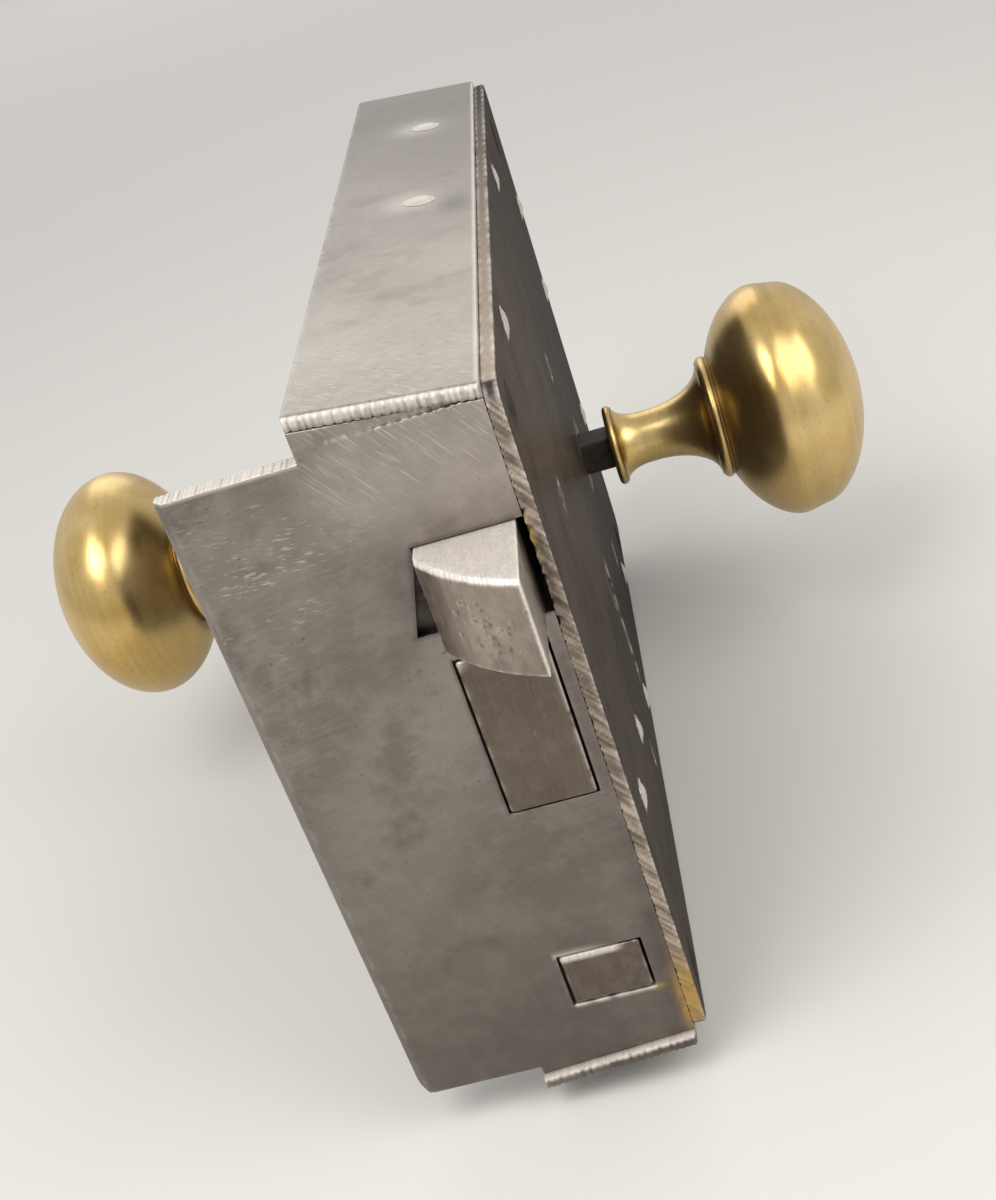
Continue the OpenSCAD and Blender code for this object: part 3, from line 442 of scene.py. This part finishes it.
bm = wearCopy("selvedge", selvedge["soft"], (0, selvedge["grid"], selvedge["grid"]), skip=leftCrisp)
lip, ridge, beat = selvedge["lipTop"], selvedge["ridgeZ"], selvedge["ridgeBeat"]
ridgeFrom, ridgeTo = selvedge["ridgeFine"][:2]
reliefY, reliefZ = selvedge["reliefFine"][:2], selvedge["reliefTall"]
nightY, nightZ = selvedge["night"]
cutAcross(bm, 1, steps(*selvedge["lipFine"]), lambda x, y, z: z > lip - 1 and y > 0)
cutAcross(bm, 1, steps(*selvedge["ridgeFine"]), lambda x, y, z: ridge - 0.8 < z < ridge + 1 and x < -2)
cutAcross(bm, 1, steps(*selvedge["reliefFine"]),
          lambda x, y, z: reliefZ[0] < z < reliefZ[1] and reliefY[0] < y < reliefY[1])
# top of the lip, touches along the ridge, and painted light: a paler field above the latch
brush(bm, "filed", lambda x, y, z: ramp(z, lip - 0.4, lip - 0.1) if y > 0 else 0)
brush(bm, "filed", lambda x, y, z: 0.6 * bell(z, ridge + 0.1, 0.4)
      * (0.3 + 0.7 * ramp(math.sin(y * beat + math.sin(y)), -0.4, 0.5))
      if ridgeFrom < y < ridgeTo and x < -2.2 else 0)
brush(bm, "filed", lambda x, y, z: 0.3 * ramp(z, 22, 32) * ramp(y, 4, -8) if x < -2 else 0)
# sill and upper edge of the night bolt's opening
brush(bm, "filed", lambda x, y, z: 0.9 * bell(z, nightZ[0], 0.35) * ramp(noise.noise((y / 2, 0, 4)), -0.5, 0)
      if nightY[0] - 0.2 < y < nightY[1] else 0)
brush(bm, "filed", lambda x, y, z: 0.6 * bell(z, nightZ[1] + 0.4, 0.5) * ramp(y, -20, -14) if y < -9 else 0)
# slanting scratches at the top, short marks over the lip and fewer beside the latch
brush(bm, "scored", lambda x, y, z: 0.65 * ramp(z, 29, 38) * ramp(y, 3, -2) if x < -2 else 0)
brush(bm, "chatter", lambda x, y, z: ramp(y, -1, 6) * ramp(z, 8, 22) * ramp(z, 40, 36)
      * ramp(noise.noise((y / 9, z / 4, 3)), -0.25, 0.35))
brush(bm, "chatter", lambda x, y, z: 0.35 * bell(y, -4, 6) * bell(z, 30, 5))
# painted shade, darker towards the foot; darker also over the lip's middle and in the wedge above the ridge
brush(bm, "dull", lambda x, y, z: 0.85 * ramp(z, 2, -70) + 0.25 * bell(z, 12, 12) * bell(y, 4, 8))
brush(bm, "dull", lambda x, y, z: 0.5 * ramp(z, ridge + 0.1, ridge + 0.5) if y < -4 else 0)
# painted shade in the hollow and in the gaps over the latch and beside the key bolt; darker smudges beside the
# hollow, soot along the joint
brush(bm, "soot", hollowShade)
brush(bm, "soot", lambda x, y, z: 0.3 * bell(y, -7.5, 2.2) * bell(z, 13, 7) + 0.2 * bell(y, -4, 3) * bell(z, 4, 5))
brush(bm, "soot", lambda x, y, z: 0.3 * bell(y, -28, 1.6) * ramp(z, 7, 2)
      * ramp(noise.noise((z / 9, 0, 6)), -0.5, 0.1))
brush(bm, "soot", lambda x, y, z: 0.55 * bell(z, selvedge["latchTop"], 0.5)
      if selvedge["latchSides"][0] < y < selvedge["latchSides"][1] else 0)
brush(bm, "soot", lambda x, y, z: 0.45 * bell(y, selvedge["keySide"], 0.45)
      if selvedge["keyTall"][0] < z < selvedge["keyTall"][1] else 0)
# brass at the foot of the joint, and a drop of it beside the night bolt
brush(bm, "braze", lambda x, y, z: 0.8 * bell(y, selvedge["braze"][0], 0.9) * bell(z, selvedge["braze"][1], 8))
brush(bm, "braze", lambda x, y, z: 0.7 * bell(y, selvedge["brazeDrop"][0], 0.9)
      * bell(z, selvedge["brazeDrop"][1], 0.6))
uneven(bm, selvedge["wave"], lambda x, y, z: 1 if x < -3 else 0)
fileNicks(bm, selvedge["lipNicks"], lambda x, y, z: ramp(z, lip - 0.6, lip) if y > 0.2 else 0, lambda x, y, z: y)
fileNicks(bm, selvedge["ridgeNicks"], lambda x, y, z: bell(z, ridge, 0.5) if x < -2.2 and y < 0 else 0,
          lambda x, y, z: y)
makePiece(bm, "Selvedge", ["selvedge"], "case", selvedgeSteel)

# top plate, its front edge rounded over and notched by the file
topPlate = {
    "soft": 0.2, "grid": 1.5, "nickFine": (-29, 0, 0.2), "roundFine": (-3.4, -1, 0.4),
    "wave": {"size": 12, "depth": 0.08, "seed": 2},
    "edgeX": -3.5, "band": 0.6, "touch": 0.7, "nickSlant": 0.35,
    "topZ": 49.4, "splay": 0.118, "brightDown": 1.7,  # the file only reached so far down the end
    "nicks": {"seed": 2, "from": -29, "to": 0, "apart": (0.8, 1.6), "width": (0.18, 0.3), "depth": (0.1, 0.28),
              "mark": 0.35},
    "rivetX": (98, 159.4), "rivetY": -16, "stain": (92, -25), "sideY": -28.9,
}


def belowTop(y, z):  # depth under the splayed upper face
    return topPlate["topZ"] + topPlate["splay"] * y - z


bm = wearCopy("top_plate", topPlate["soft"], (topPlate["grid"], topPlate["grid"], 0))
edgeX, band, down, slant = (topPlate[key] for key in ("edgeX", "band", "brightDown", "nickSlant"))
cutAcross(bm, 1, steps(*topPlate["nickFine"]), lambda x, y, z: x < -1.9)
cutAcross(bm, 0, steps(*topPlate["roundFine"]), lambda x, y, z: x < topPlate["roundFine"][1])
# the rounded front edge in single touches of the file, rings round the rivets, and the edge by the main plate
brush(bm, "filed", lambda x, y, z: ramp(x, edgeX + 1.5 * band, edgeX + band)
      * (0.45 + 0.55 * ramp(noise.noise(((y + slant * x) / topPlate["touch"], 0, 7)), -0.25, 0.15))
      * ramp(belowTop(y, z), down + 0.4, down - 0.1))
brush(bm, "filed", lambda x, y, z: max(0.5 * bell(x, r, 7) * bell(y, topPlate["rivetY"], 5)
                                       for r in topPlate["rivetX"]))
brush(bm, "filed", lambda x, y, z: 0.7 if y < topPlate["sideY"] else 0)
brush(bm, "scored", lambda x, y, z: 0.5 * ramp(x, 45, 5))
# dull low on the end and in one stain, painted shade towards the back
brush(bm, "dull", lambda x, y, z: 0.55 * ramp(belowTop(y, z), down, down + 0.4) if x < -2.8 else 0)
brush(bm, "dull", lambda x, y, z: 0.9 * ramp(x, 20, 170)
      + 0.45 * bell(x, topPlate["stain"][0], 6) * bell(y, topPlate["stain"][1], 3.5))
uneven(bm, topPlate["wave"])
fileNicks(bm, topPlate["nicks"], lambda x, y, z: ramp(x, edgeX + 1.4, edgeX + 0.2),
          lambda x, y, z: y + slant * (x - edgeX))
makePiece(bm, "TopPlate", ["top_plate"], "case", topLitSteel)

# main plate, whose front edge was hammered over and dressed with slanting file strokes
mainPlate = {
    "soft": 0.25, "grid": 2.5, "strokeFine": (-85, 45, 0.3), "edgeFine": (-31.5, -29.1, 0.4),
    "wave": {"size": 18, "depth": 0.07, "seed": 3}, "slant": 1.3, "topZ": 45,
    "strokes": {"seed": 6, "from": -90, "to": 50, "apart": (0.7, 1.7), "width": (0.22, 0.5),
                "depth": (0.06, 0.28), "mark": 0.5},
    "chips": {"seed": 17, "from": 5, "to": 25, "apart": (1.6, 3.4), "width": (0.5, 1.1), "depth": (0.3, 0.7),
              "mark": 0.5},
    "joint": (-3.3, -29.2),  # x and y past which the brazed joint with the selvedge stays crisp
}
bm = wearCopy("main_plate", mainPlate["soft"], (mainPlate["grid"], 0, mainPlate["grid"]),
              skip=lambda e: all(v.co.x < mainPlate["joint"][0] * mm and v.co.y > mainPlate["joint"][1] * mm
                                 for v in e.verts))
slant, topZ = mainPlate["slant"], mainPlate["topZ"]
cutAcross(bm, 2, steps(*mainPlate["strokeFine"]), lambda x, y, z: x < -2.6)
cutAcross(bm, 1, steps(*mainPlate["edgeFine"]), lambda x, y, z: x < -3)
# the front edge stroke by stroke, and the upper edge, less so towards the back
brush(bm, "filed", lambda x, y, z: ramp(x, -2.6, -3.2) * (0.3 + 0.15 * noise.noise((z / 9, 0, 8))
      + 0.6 * ramp(noise.noise(((z - slant * y) / 0.9, y / 4, 5)), -0.25, 0.35)))
brush(bm, "filed", lambda x, y, z: 0.6 * ramp(z, topZ - 0.1, topZ + 0.1) * ramp(x, 190, -3))
# soot beside the latch and in patches of the edge, brass at its foot and beside the latch
brush(bm, "soot", lambda x, y, z: ramp(x, -2.9, -3.4) * max(0.45 * bell(z, 11, 5) * ramp(y, -30.9, -30),
      0.4 * ramp(noise.noise((z / 3.5, y / 2, 2)), 0.15, 0.5)))
brush(bm, "braze", lambda x, y, z: 0.9 * bell(z, -76, 9) * ramp(x, -1, -3.5))
brush(bm, "braze", lambda x, y, z: 0.8 * bell(z, 20, 3.5) * ramp(x, -2, -3.5) * ramp(y, -30.3, -29.6))
# painted shade, darker towards the back and the foot
brush(bm, "dull", lambda x, y, z: 0.6 * ramp(x, 60, 190) + 0.3 * ramp(z, 0, -80))
uneven(bm, mainPlate["wave"])
fileNicks(bm, mainPlate["strokes"], lambda x, y, z: ramp(x, -2.5, -3.4), lambda x, y, z: z - slant * (y + 30))
fileNicks(bm, mainPlate["chips"], lambda x, y, z: ramp(x, -2.6, -3.4) * ramp(y, -30.6, -29.6), lambda x, y, z: z)
makePiece(bm, "MainPlate", ["main_plate"], "case", mainShadedSteel)

# bottom plate, whose end stands out as a wavy ledge, and the rear and cap plates
bottomPlate = {
    "soft": 0.3, "grid": 2.5, "nickFine": (-29, 0, 0.25), "wave": {"size": 12, "depth": 0.06, "seed": 5},
    "topZ": -86.6, "splay": 0.0787,
    "nicks": {"seed": 8, "from": -29, "to": 0, "apart": (0.9, 1.7), "width": (0.25, 0.45), "depth": (0.1, 0.35),
              "mark": 0.3},
}
bm = wearCopy("bottom_plate", bottomPlate["soft"], (bottomPlate["grid"], bottomPlate["grid"], 0))
cutAcross(bm, 1, steps(*bottomPlate["nickFine"]), lambda x, y, z: x < -3.4)
# painted light on the ledge's upper edge and painted shade on its front
brush(bm, "filed", lambda x, y, z: ramp(x, -3.3, -3.8)
      * ramp(z - bottomPlate["topZ"] + bottomPlate["splay"] * y, -0.9, -0.4))
brush(bm, "dull", lambda x, y, z: ramp(x, -4.4, -5) * (0.4 + 0.6 * ramp(y, -8, -24)))
uneven(bm, bottomPlate["wave"])
fileNicks(bm, bottomPlate["nicks"], lambda x, y, z: ramp(x, -4, -5), lambda x, y, z: y)
makePiece(bm, "BottomPlate", ["bottom_plate"], "case", plateSteel)
rearPlate = {"soft": 0.3, "grid": 2.5, "wave": {"size": 12, "depth": 0.07, "seed": 6}}
bm = wearCopy("rear_plate", rearPlate["soft"], (0, rearPlate["grid"], rearPlate["grid"]))
uneven(bm, rearPlate["wave"])
makePiece(bm, "RearPlate", ["rear_plate"], "case", plateSteel)
capPlate = {"soft": 0.25, "grid": 3, "wave": {"size": 14, "depth": 0.06, "seed": 7}, "greaseAt": (143, -35.6)}
bm = wearCopy("cap_plate", capPlate["soft"], (capPlate["grid"], 0, capPlate["grid"]))
uneven(bm, capPlate["wave"])
brush(bm, "soot", lambda x, y, z: 0.35 * bell(math.hypot(x - capPlate["greaseAt"][0], z - capPlate["greaseAt"][1]),
                                              8, 3))  # black grease in a ring
makePiece(bm, "CapPlate", ["cap_plate"], "case", plateSteel)
print("case plates made")

# latch, its curved bevel pitted where it strikes, with a bright chamfer along the top of the curve
latch = {
    "topZ": 23.6, "chamfer": 0.65, "soft": 0.18, "sharpAngle": 25, "bevelX": -7,
    "acrossFine": (-27.8, -11.7, 0.2), "upFine": (7.1, 23.6, 0.2), "alongFine": (-22, 155, 2),
    "nicks": {"seed": 12, "from": -28, "to": -11, "apart": (0.5, 1.1), "width": (0.1, 0.2), "depth": (0.03, 0.1),
              "mark": 0},
    "pits": {"seed": 21, "count": 40, "at": (-21.3, 15), "spread": (2.9, 2.4), "size": (0.16, 0.36),
             "depth": (0.1, 0.24), "deepest": 0.35, "soot": 0.25, "rim": 0.35, "rimAt": 1.25},
}


def onLatchCurve(e):  # the edge where the bevel meets the top
    a, b = e.verts
    return abs(a.co.y - b.co.y) > 0.2 * mm and all(
        abs(v.co.z / mm - latch["topZ"]) < 0.02 and v.co.x < (latch["bevelX"] - 0.3) * mm for v in (a, b))


bm = cadShape("latch_bolt")
bmesh.ops.bevel(bm, geom=[e for e in sharpEdges(bm, latch["sharpAngle"]) if onLatchCurve(e)],
                offset=latch["chamfer"] * mm, offset_type="OFFSET", segments=1, profile=0.5, affect="EDGES",
                clamp_overlap=False)
edges = sharpEdges(bm, latch["sharpAngle"])
marks = alongEdges(edges)
bmesh.ops.bevel(bm, geom=edges, offset=latch["soft"] * mm, offset_type="OFFSET", segments=2, profile=0.5,
                affect="EDGES", clamp_overlap=False)
cutAcross(bm, 1, steps(*latch["acrossFine"]), lambda x, y, z: x < 0)
cutAcross(bm, 2, steps(*latch["upFine"]), lambda x, y, z: x < 0)
cutAcross(bm, 0, steps(*latch["alongFine"]))
addWear(bm, marks)
topZ, side = latch["topZ"], latch["acrossFine"][0]
# bright top and chamfer, filed and in painted light from above, and the tip's upright corner
brush(bm, "filed", lambda x, y, z: ramp(z, topZ - 1, topZ - 0.5) * (1 if z < topZ - 0.05 else 0.85) if x < -1 else 0)
brush(bm, "filed", lambda x, y, z: 0.9 * bell(y, side, 0.3) if x < -21.8 else 0)
# painted shade low on the bevel towards the room side, black where it goes into the case
brush(bm, "dull", lambda x, y, z: 0.35 * ramp(y, -19, -27) * ramp(z, 22, 12) if x < -3 else 0)
brush(bm, "soot", lambda x, y, z: 0.5 * ramp(x, -6, -3) * (1 if y < -27 else 0.3) if -9 < x < 2 and z < 22 else 0)
fileNicks(bm, latch["nicks"],
          lambda x, y, z: ramp(z, topZ - 1.5, topZ - 0.5) if x < latch["bevelX"] and y > side + 0.2 else 0,
          lambda x, y, z: y)
pit = latch["pits"]
rng = random.Random(pit["seed"])
pits = [(rng.gauss(pit["at"][0], pit["spread"][0]) * mm, rng.gauss(pit["at"][1], pit["spread"][1]) * mm,
         rng.uniform(*pit["size"]) * mm, rng.uniform(*pit["depth"]) * mm) for k in range(pit["count"])]
bm.normal_update()
edgeLayer, sootLayer = bm.verts.layers.float["edge"], bm.verts.layers.float["soot"]
for v in bm.verts:
    if v.co.x < latch["bevelX"] * mm and v.normal.x < -0.3:
        reach = [(((v.co.y - y) ** 2 + (v.co.z - z) ** 2) / s ** 2, d) for y, z, s, d in pits]
        v.co -= v.normal * min(sum(d * math.exp(-r) for r, d in reach), pit["deepest"] * mm)
        v[sootLayer] = max(v[sootLayer], pit["soot"] * max(math.exp(-r * 1.5) for r, d in reach))
        rim = max(math.exp(-(math.sqrt(r) - pit["rimAt"]) ** 2 / 0.1) for r, d in reach)
        v[edgeLayer] = max(v[edgeLayer], pit["rim"] * rim)
makePiece(bm, "LatchBolt", ["latch_bolt"], "latch", latchSteel)

# key bolt and night bolt, bright along the edges they rub on
keyBolt = {"soft": 0.5, "along": 2.5, "grid": 1.2, "wave": {"size": 7, "depth": 0.06, "seed": 8},
           "corner": (-11.8, 2.2), "rubbedSide": -26.5}
bm = wearCopy("key_bolt", keyBolt["soft"], (keyBolt["along"], keyBolt["grid"], keyBolt["grid"]))
brush(bm, "filed", lambda x, y, z: 0.9 * bell(y, keyBolt["corner"][0], 1) * bell(z, keyBolt["corner"][1], 0.9)
      if x < -3 else 0)
# a rubbed edge with a painted highlight along it
brush(bm, "edge", lambda x, y, z: bell(y, keyBolt["rubbedSide"], 0.4) if x < -3.2 else 0)
uneven(bm, keyBolt["wave"])
makePiece(bm, "KeyBolt", ["key_bolt"], "dead_bolt", boltSteel)
nightBolt = {"soft": 0.6, "along": 2.5, "grid": 0.8, "wave": {"size": 5, "depth": 0.06, "seed": 9},
             "rubbedZ": (-62.3, -61.7), "rubbedY": (-22, -20)}
bm = wearCopy("night_bolt", nightBolt["soft"], (nightBolt["along"], nightBolt["grid"], nightBolt["grid"]))
brush(bm, "filed", lambda x, y, z: ramp(z, *nightBolt["rubbedZ"]) * ramp(y, *nightBolt["rubbedY"])
      if x < -2.4 else 0)
uneven(bm, nightBolt["wave"])
makePiece(bm, "NightBolt", ["night_bolt"], "slide_bolt", boltSteel)

# rivets, hammered over, none quite round
rivets = {"grid": 0.8, "dents": {"size": 2.4, "depth": 0.3, "seed": 10}, "headY": -31.45, "rubbedY": -31.6,
          "rubbedZ": 46.5}
for node, name in (("case_rivets", "PlateRivets"), ("top_rivets", "TopRivets")):
    bm = wearCopy(node, 0, (rivets["grid"], rivets["grid"], rivets["grid"]), 0)
    uneven(bm, rivets["dents"], lambda x, y, z: 1 if y < rivets["headY"] else 0.15)
    brush(bm, "filed", lambda x, y, z: 0.7 if y < rivets["rubbedY"] or z > rivets["rubbedZ"] else 0)
    makePiece(bm, name, [node], "case", topLitSteel)

# the works inside: node, piece, body, finish, slot, softened edge in mm
works = [
    ("cap_posts", "CapPosts", "case", darkIron, "dark_iron", 0.25),
    ("cap_screws", "CapScrews", "case", darkIron, "dark_iron", 0.12),
    ("latch_tail_guide", "LatchTailGuide", "case", plateSteel, "plate_steel", 0.3),
    ("bolt_stud", "BoltStud", "case", darkIron, "dark_iron", 0.3),
    ("bolt_staple", "BoltStaple", "case", darkIron, "dark_iron", 0.4),
    ("detent_stud", "DetentStud", "case", darkIron, "dark_iron", 0.3),
    ("plate_ward", "PlateWard", "case", darkIron, "dark_iron", 0.15),
    ("cap_ward", "CapWard", "case", darkIron, "dark_iron", 0.15),
    ("night_staple", "NightStaple", "case", darkIron, "dark_iron", 0.3),
    ("night_spring", "NightSpring", "case", springSteel, "spring_steel", 0.15),
    ("bolt_back_spring", "BoltBackSpring", "dead_bolt", springSteel, "spring_steel", 0.15),
    ("follower", "Follower", "knob_set", darkIron, "dark_iron", 0.35),
    ("spindle", "Spindle", "knob_set", darkIron, "dark_iron", 0.35),
    ("knob_screws", "KnobScrews", "knob_set", darkIron, "dark_iron", 0.12),
    ("thumb_knob", "ThumbKnob", "slide_bolt", brass, "brass", 0.15),
]
forged = {"grid": 3, "support": 0.6, "wave": {"size": 4, "depth": 0.06, "seed": 11}}
for node, name, body, mat, slot, soft in works:
    bm = wearCopy(node, soft, (forged["grid"], forged["grid"], forged["grid"]), forged["support"])
    uneven(bm, forged["wave"])
    makePiece(bm, name, [node], body, mat)
latchSpring = {"soft": 0.15, "grid": 1.5, "support": 0.5}  # bends between the case and the latch
bm = wearCopy("latch_spring", latchSpring["soft"], (latchSpring["grid"], 0, latchSpring["grid"]),
              latchSpring["support"])
spring = makePiece(bm, "LatchSpring", ["latch_spring"], None, springSteel)
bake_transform(spring, "case", "latch", start=(0.1803, -0.018, 0.0286), end=(0.158, -0.018, 0.0155))
print("bolts and works made")

# knobs, turned from cast brass: flare, neck, collar bead and a flattened ball, with a soft groove beyond the
# widest ring of the room one; distances are from the flare's end
knob = {
    "x": 143, "z": -35.6, "roomFlare": -38.5, "doorFlare": 43.3,
    "length": 61, "ball": 57.2, "flare": 19.6, "neck": 12.6, "collar": 30, "flareRim": 1.1, "flareHollow": 0.5,
    "neckAt": 8.6, "neckEnd": 10.4, "collarAt": 24.4, "bead": 1.6, "beadFlat": 0.9, "collarLip": 1.2, "beadTo": 40,
    "seat": 0.3, "ballMid": 42.6, "roomGroove": 0.75, "doorGroove": 0, "grooveAt": 45, "grooveWidth": 3.4,
    "tang": 7.26, "tangDepth": 33, "tangSoft": 0.2, "around": 144,
    "dents": {"size": 16, "depth": 0.14}, "dentFrom": (26, 32),
    "hollows": ((27.3, 0.7, 1), (24.1, 0.7, 0.7), (2.1, 0.6, 0.4)),  # distance, width, share of tarnish
    # on the next line, the tarnish share for the underside is painted shade
    "grooveTarnish": 0.15, "belowShade": 0.35, "bore": (4.4, 33.5),
}


def bow(centre, half, start, stop, count):  # points on an elliptic arc, radius then distance along
    turn = [math.radians(start + (stop - start) * k / count) for k in range(count + 1)]
    return [(centre[0] + half[0] * math.cos(t), centre[1] + half[1] * math.sin(t)) for t in turn]


def knobLine(k, groove):
    hollow = k["flare"] / 2 - k["flareHollow"]
    collar = k["collar"] / 2 - k["collarLip"]
    beadTurn = math.radians(k["beadTo"])
    beadR = k["collar"] / 2 - k["bead"] * (1 - math.cos(beadTurn))
    beadD = k["collarAt"] + k["bead"] * (1 + k["beadFlat"] * math.sin(beadTurn))
    ballFrom = math.degrees(math.acos(2 * beadR / k["ball"]))
    ballHalf = (k["ballMid"] - beadD - k["seat"]) / math.sin(math.radians(ballFrom))
    tang, soft, ballMid = k["tang"] / 2, k["tangSoft"], (0, k["ballMid"])
    line = [(0, k["tangDepth"]), (tang - soft, k["tangDepth"]), (tang, k["tangDepth"] - soft), (tang, soft),
            (tang + soft, 0)]
    line += bow((k["flare"] / 2 - k["flareRim"], k["flareRim"]), (k["flareRim"], k["flareRim"]), -90, 60, 10)
    line += bow((hollow, k["neckAt"]), (hollow - k["neck"] / 2, k["neckAt"] - 2 * k["flareRim"]), 270, 180, 18)
    line += bow((collar, k["neckEnd"]), (collar - k["neck"] / 2, k["collarAt"] - k["neckEnd"]), 180, 90, 22)
    line += bow((k["collar"] / 2 - k["bead"], k["collarAt"] + k["bead"]), (k["bead"], k["bead"] * k["beadFlat"]),
                -60, k["beadTo"], 12)
    ball = bow(ballMid, (k["ball"] / 2, ballHalf), -ballFrom, 0, 34)
    ball += bow(ballMid, (k["ball"] / 2, k["length"] - k["ballMid"]), 0, 90, 50)[1:]
    line += [(max(0, r - groove * bell(d, k["grooveAt"], k["grooveWidth"])), d) for r, d in ball]
    return line


def knobPiece(name, node, flareY, way, groove, seed):
    bm = bmesh.new()
    hollow = bm.verts.layers.float.new("hollow")
    rings = []
    for r, d in knobLine(knob, groove):
        count = 1 if r < 1e-6 else knob["around"]
        low = sum(share * bell(d, at, width) for at, width, share in knob["hollows"])
        low += knob["grooveTarnish"] * groove * bell(d, knob["grooveAt"], 1.5)
        low += 1 if r < knob["bore"][0] and d < knob["bore"][1] else 0
        ring = []
        for k in range(count):
            t = 2 * math.pi * k / knob["around"]
            spot = (knob["x"] + r * math.cos(t), flareY + way * d, knob["z"] + r * math.sin(t))
            v = bm.verts.new(Vector(spot) * mm)
            v[hollow] = min(1, low + knob["belowShade"] * ramp(-math.sin(t), 0.1, 1))  # painted shade on the underside
            ring.append(v)
        rings.append(ring)
    for a, b in zip(rings, rings[1:]):
        for k in range(knob["around"]):
            n = (k + 1) % knob["around"]
            corners = [a[k % len(a)], a[n % len(a)], b[n % len(b)], b[k % len(b)]]
            bm.faces.new([v for i, v in enumerate(corners) if v not in corners[:i]])
    bmesh.ops.recalc_face_normals(bm, faces=bm.faces)
    uneven(bm, dict(knob["dents"], seed=seed), lambda x, y, z: ramp(abs(y - flareY), *knob["dentFrom"]))
    return makePiece(bm, name, [node], "knob_set", brass)


knobPiece("RoomKnob", "room_knob", knob["roomFlare"], -1, knob["roomGroove"], 12)
knobPiece("DoorKnob", "door_knob", knob["doorFlare"], 1, knob["doorGroove"], 13)
print("knobs made")

# camera at the photograph's viewing angle, on a 996 x 1200 frame; lens and sensor in mm, as cameras have them
view = {"at": (-220.5, -53.8, 129.3), "along": (0.8711, 0.1301, -0.4736), "up": (0.4908, -0.2647, 0.8301),
        "lens": 48.78, "sensor": 36, "nearest": 10}
lens = bpy.data.cameras.new("Camera")
lens.lens = view["lens"]
lens.sensor_width = view["sensor"]
lens.clip_start = view["nearest"] * mm
camera = bpy.data.objects.new("Camera", lens)
along = Vector(view["along"]).normalized()
right = along.cross(Vector(view["up"])).normalized()
turn = Matrix((right, right.cross(along), -along)).transposed().to_4x4()
camera.matrix_world = Matrix.Translation(Vector(view["at"]) * mm) @ turn
scene.collection.objects.link(camera)
scene.camera = camera

# floor, soft studio lamps and an even pale room
studio = {
    "floor": "#d6d3cd", "floorRough": 0.9, "floorHalf": 30, "floorDrop": 0.2,  # half its width in m, drop in mm
    "room": "#ffffff", "roomLevel": 0.72, "aim": (60, -10, 0),
    "lamps": [  # place in mm, size in mm, watts
        ((-214, 203, 528), 380, 2.3), ((-142, -420, 400), 420, 1.5), ((2700, 310, 1490), 1800, 10),
    ],
}
bm = bmesh.new()
bmesh.ops.create_grid(bm, x_segments=1, y_segments=1, size=studio["floorHalf"])
mesh = bpy.data.meshes.new("Floor")
bm.to_mesh(mesh)
bm.free()
floor = bpy.data.objects.new("Floor", mesh)
floor.location.z = cadBox[0][2] - studio["floorDrop"] * mm
paper = bpy.data.materials.new("PaperBackdropMatt")  # paper sweep: even, matt, no shine
paper.use_nodes = True
paper.node_tree.nodes["Principled BSDF"].inputs["Base Color"].default_value = hexColour(studio["floor"])
paper.node_tree.nodes["Principled BSDF"].inputs["Roughness"].default_value = studio["floorRough"]
mesh.materials.append(paper)
scene.collection.objects.link(floor)
world = bpy.data.worlds.new("Room")
scene.world = world
world.use_nodes = True
world.node_tree.nodes["Background"].inputs["Color"].default_value = hexColour(studio["room"])
world.node_tree.nodes["Background"].inputs["Strength"].default_value = studio["roomLevel"]
target = Vector(studio["aim"]) * mm
for k, (at, size, watts) in enumerate(studio["lamps"]):
    light = bpy.data.lights.new("Lamp%d" % k, "AREA")
    light.size = size * mm
    light.energy = watts
    lamp = bpy.data.objects.new("Lamp%d" % k, light)
    lamp.location = Vector(at) * mm
    lamp.rotation_euler = (target - lamp.location).to_track_quat("-Z", "Y").to_euler()
    scene.collection.objects.link(lamp)
scene.view_settings.view_transform = "Standard"
print("camera and studio set")
